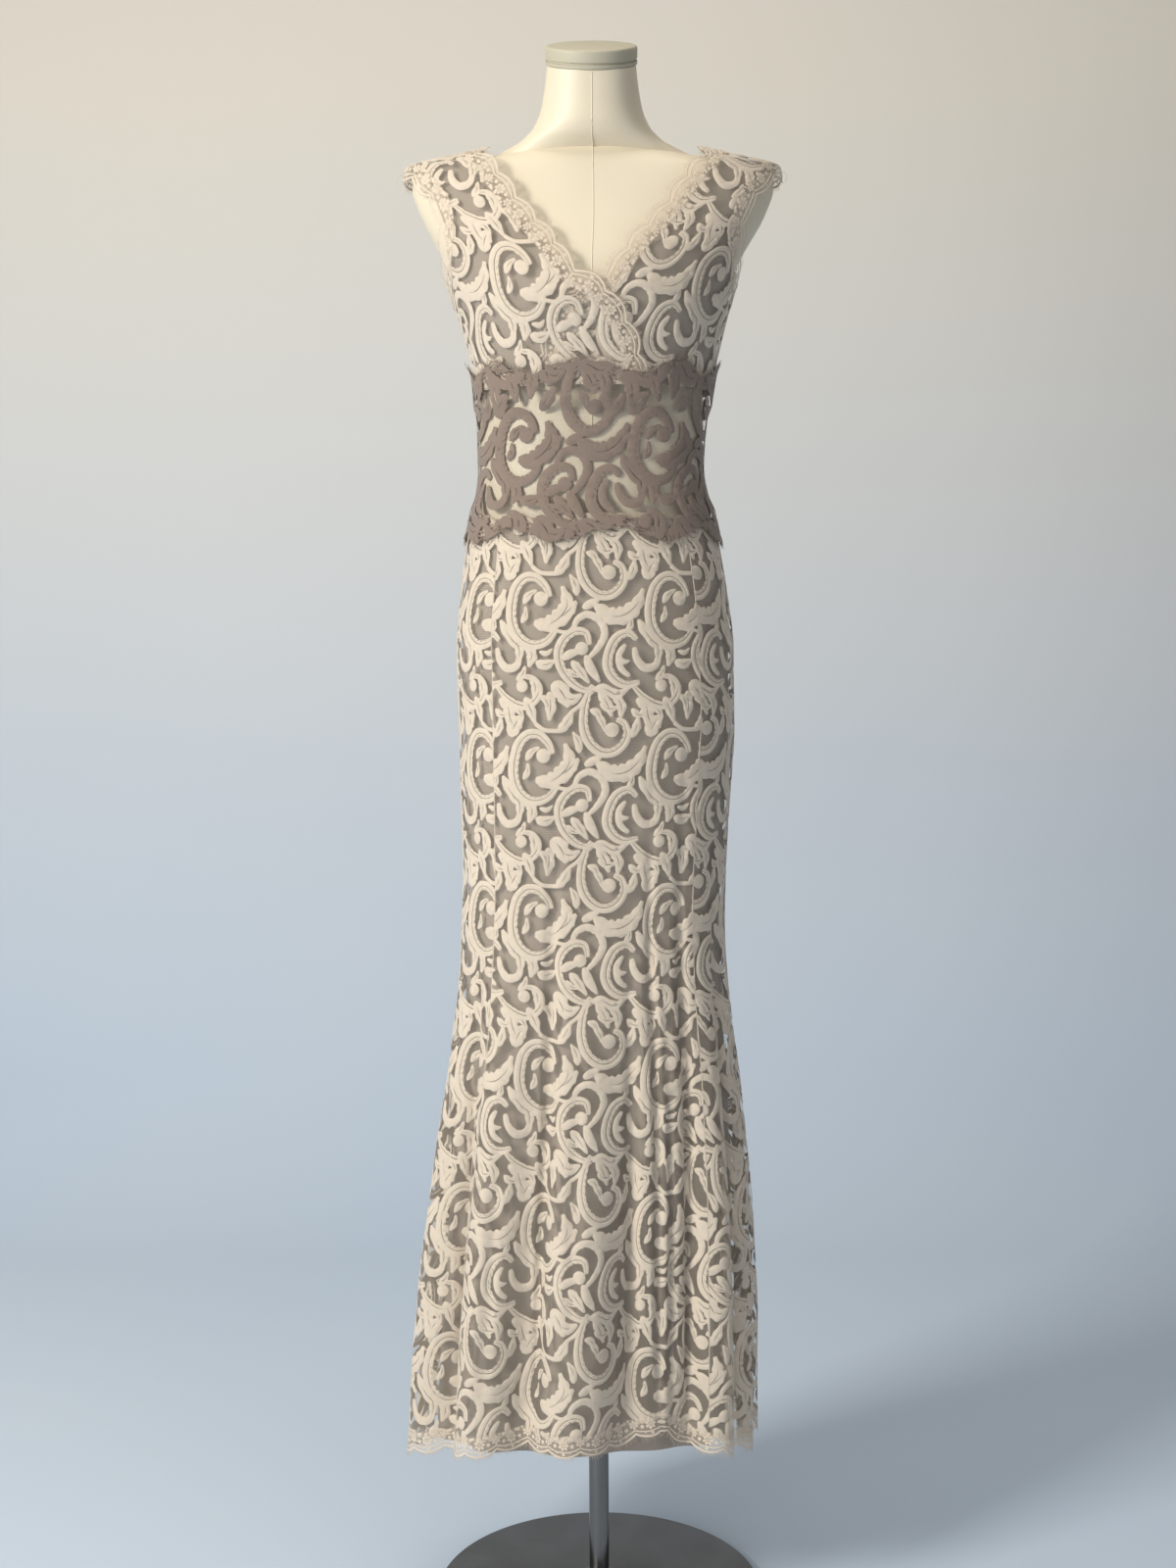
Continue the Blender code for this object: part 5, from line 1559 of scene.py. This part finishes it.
class DRESS_OT_linings(bpy.types.Operator):
    """Makes the bodice's and the skirt's linings"""

    bl_idname = "dress.linings"
    bl_label = "Linings"

    def execute(self, context):
        look = material(
            "Lining", cloth_look, context.scene.dress.lining_colour, rough=0.72, sheen=0.35, pitch=0.0004,
            depth=0.00005,
        )
        point = (0, NECK_FRONT[-1][1])
        path = smooth_line([(180, NECK_BACK[-1][1])] + NECK_BACK[-2::-1] + NECK_FRONT[1:-1] + [point])
        neck = clipped(beside(path[::4], LINING_BACK_OFF), 0, 0, 180)
        arm = beside(armhole_path()[::4], -LINING_BACK_OFF, closed=True)
        front, back = bodice_halves(neck, arm, 0)
        for name, half, middle in (("front", front, 0), ("back", back, 180)):
            half = [p for p in half if p[0] != middle or p in (half[0], (middle, BODICE_FOOT))]
            other = [(2 * middle - a, s) for a, s in half]
            cloth_shell(
                f"lining_bodice_{name}", joined(half, other[::-1]), middle, at_lining, "lace", look,
                [f"bodice_lining_{name}"],
            )
        for name, low, high in (("front", -90, 90), ("back", 90, 270)):
            a0, a1 = low + RIM, high - RIM
            hem = [(a, float(lining_hem(a))) for a in np.linspace(a0, a1, 91)]
            outline = [(a1, SKIRT_TOP + 0.004), (a0, SKIRT_TOP + 0.004)] + hem
            cloth_shell(
                f"lining_skirt_{name}", outline, (low + high) / 2, at_lining, "lining", look,
                [f"skirt_lining_{name}"],
            )
        return {"FINISHED"}


class DRESS_OT_bodice(bpy.types.Operator):
    """Makes the two lapped fronts and the two backs in lace"""

    bl_idname = "dress.bodice"
    bl_label = "Bodice"

    def execute(self, context):
        looks = lace_looks(context)
        arm = beside(armhole_path()[::2], EDGING_OVERLAP - EDGING_WIDE, closed=True)
        for side, name, wrap, off in FRONTS:
            neck = beside(neck_path(wrap)[::2], EDGING_WIDE - EDGING_OVERLAP)
            front, back = bodice_halves(neck, arm)
            if side < 0:
                front, back = mirrored(front), mirrored(back)
            lace_panel(
                f"lace_bodice_front_{name}", front, 40 * side, BODICE_ORIGIN, off, looks,
                [f"bodice_front_{name}"],
            )
            lace_panel(
                f"lace_bodice_back_{name}", back, 135 * side, BODICE_ORIGIN, at_lace, looks,
                [f"bodice_back_{name}"],
            )
        return {"FINISHED"}


def band_wave(angle):
    """How far the waist band's edge stands out in its long waves."""
    turn = np.radians((np.asarray(angle) - BAND_CREST) * 360 / BAND_WAVE)
    return BAND_WAVE_DEEP * (np.cos(turn) * 0.5 + 0.1)


class DRESS_OT_band(bpy.types.Operator):
    """Makes the lace band at the waist, in three pieces with scalloped and fringed edges"""

    bl_idname = "dress.band"
    bl_label = "Waist band"

    def execute(self, context):
        looks = band_looks(context)
        dress = context.scene.dress
        lash = material("Waist band threads", thread_look, dress.band_colour)
        for number, (name, low, high) in enumerate((
            ("front", -SIDE_SEAM, SIDE_SEAM), ("back_left", SIDE_SEAM, 180), ("back_right", -180, -SIDE_SEAM),
        )):
            obj, edge, lashes = waist_band(name, low + RIM, high - RIM, looks)
            shortest, longest = 0.4 * dress.lash_length, 1.4 * dress.lash_length
            threads = fringe(
                f"fringe_waist_band_{name}", *lashes, shortest, longest, 0.00032, lash, 0.6, 70 + number,
            )
        return {"FINISHED"}


def waist_band(part, low, high, looks):
    """One piece of the band, its flat outline, and its threads' roots, outward and normal directions."""
    middle = (low + high) / 2
    cut = Cut(low, high, middle, BAND_TOP - 0.03, BAND_FOOT + 0.03)
    angle = np.linspace(low, high, round((high - low) / 0.6) + 1)
    top_base = BAND_TOP - band_wave(angle)
    foot_base = BAND_FOOT + band_wave(angle + 9)
    span = BAND_TRIM
    small = BAND_SCALLOP_DEEP * np.abs(np.sin(np.pi * cut.across(angle, top_base) / span)) ** 0.8
    top = np.stack([cut.across(angle, top_base), -(top_base - small)], 1)
    foot = np.stack([cut.across(angle, foot_base), -(foot_base + small)], 1)
    down = np.linspace(-top[0, 1], -foot[0, 1], 30)[1:-1]
    first = np.stack([cut.across(np.full(28, low), down), -down], 1)
    last = np.stack([cut.across(np.full(28, high), down), -down], 1)
    edge = counter_clockwise(np.concatenate([top[::-1], first, foot, last[::-1]]))
    start = (BAND_ORIGIN[0], -BAND_ORIGIN[1] - REPEAT_TALL)
    cloth = repeated(LACE_CLOTH[:-BAND_LEFT_OUT], edge, REPEAT_WIDE, REPEAT_TALL, start)
    cloth = [drawn_in(loop, -BAND_BROADER) for loop in cloth]
    veins = repeated(LACE_VEINS, edge, REPEAT_WIDE, REPEAT_TALL, start)
    shapes = trim_shapes(span)
    for k in range(math.floor(top[:, 0].min() / span) - 1, math.ceil(top[:, 0].max() / span) + 1):
        for shape in shapes:
            across = shape[:, 0] + k * span
            if across.max() < edge[:, 0].min() or across.min() > edge[:, 0].max():
                continue
            high_line = -np.interp(across, cut.across(angle, top_base), top_base)
            low_line = -np.interp(across, cut.across(angle, foot_base), foot_base)
            cloth.append(counter_clockwise(np.stack([across, high_line + BAND_TRIM_HIGH * shape[:, 1]], 1)))
            cloth.append(counter_clockwise(np.stack([across, low_line - BAND_TRIM_HIGH * shape[:, 1]], 1)))
    flat, faces, net, relief = mesh_lace(edge, cloth, veins, BAND_STEP, TRIM_RELIEF)
    station = -flat[:, 1]
    turn = cut.angle(flat[:, 0], station)
    points = worn(turn, station, at_band(turn, station) + relief)
    obj = new_piece(f"lace_waist_band_{part}", points, faces, looks, net, flat)
    finish(obj, [f"waist_band_{part}"])
    roots, outward, normal = [], [], []
    for line, down in ((top, -1), (foot, 1)):
        across = np.arange(line[:, 0].min(), line[:, 0].max(), 0.0011)
        order = line[:, 0].argsort()
        station = -np.interp(across, line[order, 0], line[order, 1])
        turn = cut.angle(across, station)
        at = at_band(turn, station) + LACE_RELIEF / 2
        here = worn(turn, station, at)
        ahead = worn(turn, station + 0.002 * down, at) - here
        roots.append(here)
        outward.append(ahead / np.linalg.norm(ahead, axis=1)[:, None])
        normal.append(surface_normal(turn, station))
    return obj, edge, (np.concatenate(roots), np.concatenate(outward), np.concatenate(normal))


# The skirt's gores: name, first and last angle, and how far the lace's repeat is moved across
GORES = (
    ("front", -FRONT_SEAM, FRONT_SEAM, GORE_SHIFT),
    ("side_front_left", FRONT_SEAM, SIDE_SEAM, 0),
    ("side_front_right", -SIDE_SEAM, -FRONT_SEAM, 0),
    ("back_left", SIDE_SEAM, 180, 0),
    ("back_right", -180, -SIDE_SEAM, 0),
)


class DRESS_OT_skirt(bpy.types.Operator):
    """Makes the skirt's five gores in lace, with their seams"""

    bl_idname = "dress.skirt"
    bl_label = "Skirt"

    def execute(self, context):
        looks = lace_looks(context)
        for name, low, high, shift in GORES:
            a0, a1 = low + RIM, high - RIM
            hem = [
                (a, float(lace_hem(a)) - EDGING_WIDE + EDGING_OVERLAP)
                for a in np.linspace(a0, a1, round(high - low) + 1)
            ]
            outline = [(a1, SKIRT_TOP), (a0, SKIRT_TOP)] + hem
            start = (shift, SKIRT_ORIGIN)
            lace_panel(
                f"lace_skirt_{name}", outline, (low + high) / 2, start, at_lace, looks,
                [f"skirt_{name}"],
            )
        for name, turn in (
            ("front_left", FRONT_SEAM), ("front_right", -FRONT_SEAM), ("side_left", SIDE_SEAM),
            ("side_right", -SIDE_SEAM),
        ):
            row = np.arange(BAND_FOOT + 0.01, float(lace_hem(turn)) - EDGING_WIDE, SEAM_STEP)
            spots = worn(np.full(len(row), turn), row, LACE_BASE - 0.0003)
            thread(f"seam_skirt_{name}", spots, 0.0010, looks[0], "lace")
        return {"FINISHED"}


class DRESS_OT_edgings(bpy.types.Operator):
    """Makes the scalloped edgings of the neckline, the armholes and the hem, with their threads"""

    bl_idname = "dress.edgings"
    bl_label = "Edgings"

    def execute(self, context):
        dress = context.scene.dress
        looks = trim_looks(context)
        lash = material("Edging threads", thread_look, dress.trim_colour)
        ring = [(a, float(lace_hem(a))) for a in np.arange(-180, 180, 0.5)]
        jobs = [
            ("hem", Strip(ring, closed=True, wrap=360.0), at_lace, 1, ["hem_edging"], 1.0),
        ]
        for side, name, wrap, off in FRONTS:
            jobs.append((f"neck_{name}", Strip(neck_path(wrap)), off, side, [f"neck_edging_{name}"], 0.8))
            arm = Strip(armhole_path()[::-1], closed=True)
            jobs.append((f"armhole_{name}", arm, at_lace, side, [f"armhole_edging_{name}"], 0.9))
        for number, (name, strip, off, side, nodes, lengthen) in enumerate(jobs):
            count = max(3, round(strip.run[-1] / SCALLOP))
            obj, area, size = edging_strip(f"edging_{name}", strip, count, off, side, looks, nodes)
            roots, outward, normal = strip_rim(strip, count, off, side, dress.lash_spacing)
            threads = fringe(
                f"fringe_{name}", roots, outward, normal, 0.35 * dress.lash_length * lengthen,
                dress.lash_length * lengthen, 0.00028, lash, 0.7, 11 + number,
            )
        return {"FINISHED"}


# An edge that turns more than this is a sharp one
SHARP = math.radians(30)


def merged_copy(name, node, look, bevel, body):
    """A copy of a CAD node with its doubles merged and its edges softened."""
    bm = bmesh.new()
    bm.from_mesh(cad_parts[node].data)
    bmesh.ops.remove_doubles(bm, verts=bm.verts, dist=1e-6)
    bmesh.ops.dissolve_limit(bm, angle_limit=math.radians(2), verts=bm.verts, edges=bm.edges)
    sharp = [edge for edge in bm.edges if len(edge.link_faces) == 2 and edge.calc_face_angle() > SHARP]
    bmesh.ops.bevel(
        bm, geom=sharp, offset=bevel, offset_type="OFFSET", segments=2, profile=0.5, affect="EDGES",
        material=-1, clamp_overlap=True,
    )
    bmesh.ops.triangulate(bm, faces=bm.faces)
    return finish(object_from(name, bm, look), [node], body)


class DRESS_OT_zip(bpy.types.Operator):
    """Makes the concealed zip's slider and pull tab at the centre back, and its seam"""

    bl_idname = "dress.zip"
    bl_label = "Zip"

    def execute(self, context):
        dress = context.scene.dress
        metal = material("Painted slider", form_look, dress.trim_colour, rough=0.3)
        merged_copy("slider", "zip_slider", metal, 0.00025, BODY)
        merged_copy("pull_tab", "zip_pull", metal, 0.00015, TAB_BODY)
        look = lace_looks(context)[0]
        row = np.arange(0.128, float(lace_hem(180.0)) - EDGING_WIDE, SEAM_STEP)
        row = row[(row < BAND_TOP - 0.01) | (row > BAND_FOOT + 0.01)]
        for name, part in (("bodice", row[row < BAND_TOP]), ("skirt", row[row > BAND_TOP])):
            spots = worn(np.full(len(part), 180.0), part, LACE_BASE - 0.0004)
            thread(f"seam_back_{name}", spots, 0.0013, look, "lace")
        return {"FINISHED"}


# Loose threads: where each starts as angle and station, and how it goes on: sideways, outwards, up
LOOSE = [
    ("cap_right", -93.0, 0.110, [(-0.004, 0.003, 0.0), (-0.007, 0.005, -0.004), (-0.008, 0.006, -0.011)]),
    ("cap_left", 93.0, 0.110, [(0.004, 0.002, 0.001), (0.006, 0.004, -0.004), (0.005, 0.004, -0.010)]),
    ("waist_right", -84.0, 0.330, [(-0.003, 0.001, 0.004), (-0.007, 0.000, 0.008), (-0.009, 0.0, 0.014)]),
    ("hem_front", 14.0, 1.400, [(0.001, 0.001, -0.006), (-0.001, 0.002, -0.013), (0.002, 0.002, -0.020)]),
]


class DRESS_OT_loose_threads(bpy.types.Operator):
    """Makes the few threads that have worked loose at the cap points, the waist and the hem"""

    bl_idname = "dress.loose_threads"
    bl_label = "Loose threads"

    def execute(self, context):
        dress = context.scene.dress
        pale = material("Edging threads", thread_look, dress.trim_colour)
        dark = material("Dark thread", thread_look, (0.05, 0.045, 0.04))
        for name, turn, station, steps in LOOSE:
            start = worn([turn], [station], 0.0)[0]
            points = line_through_3d([start] + [start + np.array(step) * (1, -1, 1) for step in steps], 14)
            look = dark if name == "waist_right" else pale
            thread(f"loose_thread_{name}", points, 0.0004, look, "edging", sides=5)
        return {"FINISHED"}


def line_through_3d(points, count):
    """A smooth line through points in space."""
    p = np.array(points, float)
    run = np.concatenate([[0], np.cumsum(np.linalg.norm(np.diff(p, axis=0), axis=1))])
    return read_smooth(np.column_stack([run, p]), np.linspace(0, run[-1], count))


# The stage

# The camera: how far in front, how high, how far aside, its tilt down and its roll in degrees
CAMERA_AWAY = 2.15
CAMERA_HIGH = 1.096
CAMERA_SIDE = -0.0079
CAMERA_DOWN = 4.6
CAMERA_ROLL = -0.32
LENS = 45.0
# Soft lights: name, place, what it points at, size, power and colour
LIGHTS = (
    ("key", (-2.3, -1.9, 2.3), (0, 0, 1.0), 0.8, 96.0, (1.0, 0.95, 0.86)),
    ("fill", (2.4, -2.0, 1.3), (0, 0, 0.8), 2.2, 8.0, (0.95, 0.96, 1.0)),
    ("top", (0.0, -0.2, 3.4), (0, 0, 1.2), 1.2, 17.0, (1.0, 0.92, 0.76)),
    ("low", (-1.7, -2.4, 0.8), (0, 0, 0.5), 0.8, 16.0, (0.95, 0.97, 1.0)),
)
ROOM_LIGHT = (0.95, 0.95, 0.97, 1)
ROOM_STRENGTH = 0.24
# The backdrop: where its floor ends in front, where its curve starts, the curve's radius, and its height
FLOOR_FRONT = -4.0
CURVE_START = 1.2
CURVE_RADIUS = 0.8
WALL_TOP = 5.0
FLOOR_DROP = 0.0005
# Painted shade and colour cast on the backdrop: darker and bluer near the floor, warmer and lighter up the
# wall
WALL_SHADED_LOW = (0.55, 0.66, 0.80, 1)
WALL_LIT_HIGH = (0.82, 0.77, 0.68, 1)
WALL_MOTTLE = (0.80, 0.80, 0.80, 1)


class DRESS_OT_stage(bpy.types.Operator):
    """Makes the floor and its curved backdrop, the soft lights and the camera"""

    bl_idname = "dress.stage"
    bl_label = "Stage"

    def execute(self, context):
        scene = context.scene
        bm = bmesh.new()
        middle = CURVE_RADIUS - FLOOR_DROP
        profile = [(FLOOR_FRONT, -FLOOR_DROP), (CURVE_START, -FLOOR_DROP)]
        profile += [
            (CURVE_START + CURVE_RADIUS * math.sin(a), middle - CURVE_RADIUS * math.cos(a))
            for a in np.linspace(0.1, math.pi / 2, 12)
        ]
        profile.append((CURVE_START + CURVE_RADIUS, WALL_TOP))
        verts = [bm.verts.new((-5.0, y, z)) for y, z in profile]
        edges = [bm.edges.new(pair) for pair in zip(verts, verts[1:])]
        pushed = bmesh.ops.extrude_edge_only(bm, edges=edges)
        moved = [v for v in pushed["geom"] if isinstance(v, bmesh.types.BMVert)]
        bmesh.ops.translate(bm, vec=(10.0, 0, 0), verts=moved)
        wall, tree, shader = new_material("Pale backdrop")
        around = tree.node("ShaderNodeTexCoord").outputs["Object"]
        slow = place_group(tree, wear_group(), Vector=around, Scale=0.8)
        height = tree.node("ShaderNodeSeparateXYZ", i0=around).outputs["Z"]
        # Painted shade: the backdrop's colour ramps with height from the darker blue low tone to the warm
        # high one
        painted_shade = tree.mix(tree.ramp(height, 0.2, 2.2), WALL_SHADED_LOW, WALL_LIT_HIGH)
        mottled = tree.mix(tree.math("MULTIPLY", slow["Shade"], 0.2), painted_shade, WALL_MOTTLE)
        tree.set(shader.inputs["Base Color"], mottled)
        shader.inputs["Roughness"].default_value = 0.9
        behind = tree.node("ShaderNodeNewGeometry").outputs["Backfacing"]
        tree.set(shader.inputs["Alpha"], tree.math("SUBTRACT", 1.0, behind))
        backdrop = object_from("backdrop", bm, wall)
        facing_up = sum(face.normal.z * face.area for face in backdrop.data.polygons)
        if facing_up < 0:
            backdrop.data.flip_normals()

        world = bpy.data.worlds.new("Soft room")
        world.use_nodes = True
        world.node_tree.nodes["Background"].inputs["Color"].default_value = ROOM_LIGHT
        world.node_tree.nodes["Background"].inputs["Strength"].default_value = ROOM_STRENGTH
        scene.world = world
        for name, spot, aim, size, power, colour in LIGHTS:
            lamp = bpy.data.lights.new(name, "AREA")
            lamp.energy = power
            lamp.size = size
            lamp.color = colour
            light = bpy.data.objects.new(name, lamp)
            light.location = spot
            towards = Vector(aim) - Vector(spot)
            light.rotation_euler = towards.to_track_quat("-Z", "Y").to_euler()
            scene.collection.objects.link(light)

        view = bpy.data.cameras.new("photo_view")
        view.lens = LENS
        view.sensor_width = 36.0
        camera = bpy.data.objects.new("photo_view", view)
        camera.location = (CAMERA_SIDE, -CAMERA_AWAY, CAMERA_HIGH)
        tilt = Matrix.Rotation(math.radians(90 - CAMERA_DOWN), 4, "X") @ Matrix.Rotation(
            math.radians(CAMERA_ROLL), 4, "Z")
        camera.rotation_euler = tilt.to_euler()
        scene.collection.objects.link(camera)
        scene.camera = camera
        scene.view_settings.view_transform = "Standard"
        return {"FINISHED"}


OPERATORS = (
    DRESS_OT_stand, DRESS_OT_form, DRESS_OT_linings, DRESS_OT_bodice, DRESS_OT_band, DRESS_OT_skirt,
    DRESS_OT_edgings, DRESS_OT_zip, DRESS_OT_loose_threads, DRESS_OT_stage,
)


class DRESS_PT_pieces(bpy.types.Panel):
    """The dress's sizes, colours and pieces"""

    bl_label = "Dress"
    bl_idname = "DRESS_PT_pieces"
    bl_space_type = "VIEW_3D"
    bl_region_type = "UI"
    bl_category = "Dress"

    def draw(self, context):
        for group in (context.scene.dress, context.scene.dress_form):
            for name in group.__annotations__:
                self.layout.prop(group, name)
        for operator in OPERATORS:
            self.layout.operator(operator.bl_idname)


CLASSES = (DressSettings, FormSettings, *OPERATORS, DRESS_PT_pieces)


def register():
    for made in CLASSES:
        bpy.utils.register_class(made)
    bpy.types.Scene.dress = bpy.props.PointerProperty(type=DressSettings)
    bpy.types.Scene.dress_form = bpy.props.PointerProperty(type=FormSettings)


def unregister():
    del bpy.types.Scene.dress_form
    del bpy.types.Scene.dress
    for made in reversed(CLASSES):
        bpy.utils.unregister_class(made)


def main():
    register()
    bpy.ops.dress.stand()
    bpy.ops.dress.form()
    bpy.ops.dress.linings()
    bpy.ops.dress.bodice()
    bpy.ops.dress.band()
    bpy.ops.dress.skirt()
    bpy.ops.dress.edgings()
    bpy.ops.dress.zip()
    bpy.ops.dress.loose_threads()
    bpy.ops.dress.stage()


if __name__ == "__main__":
    main()
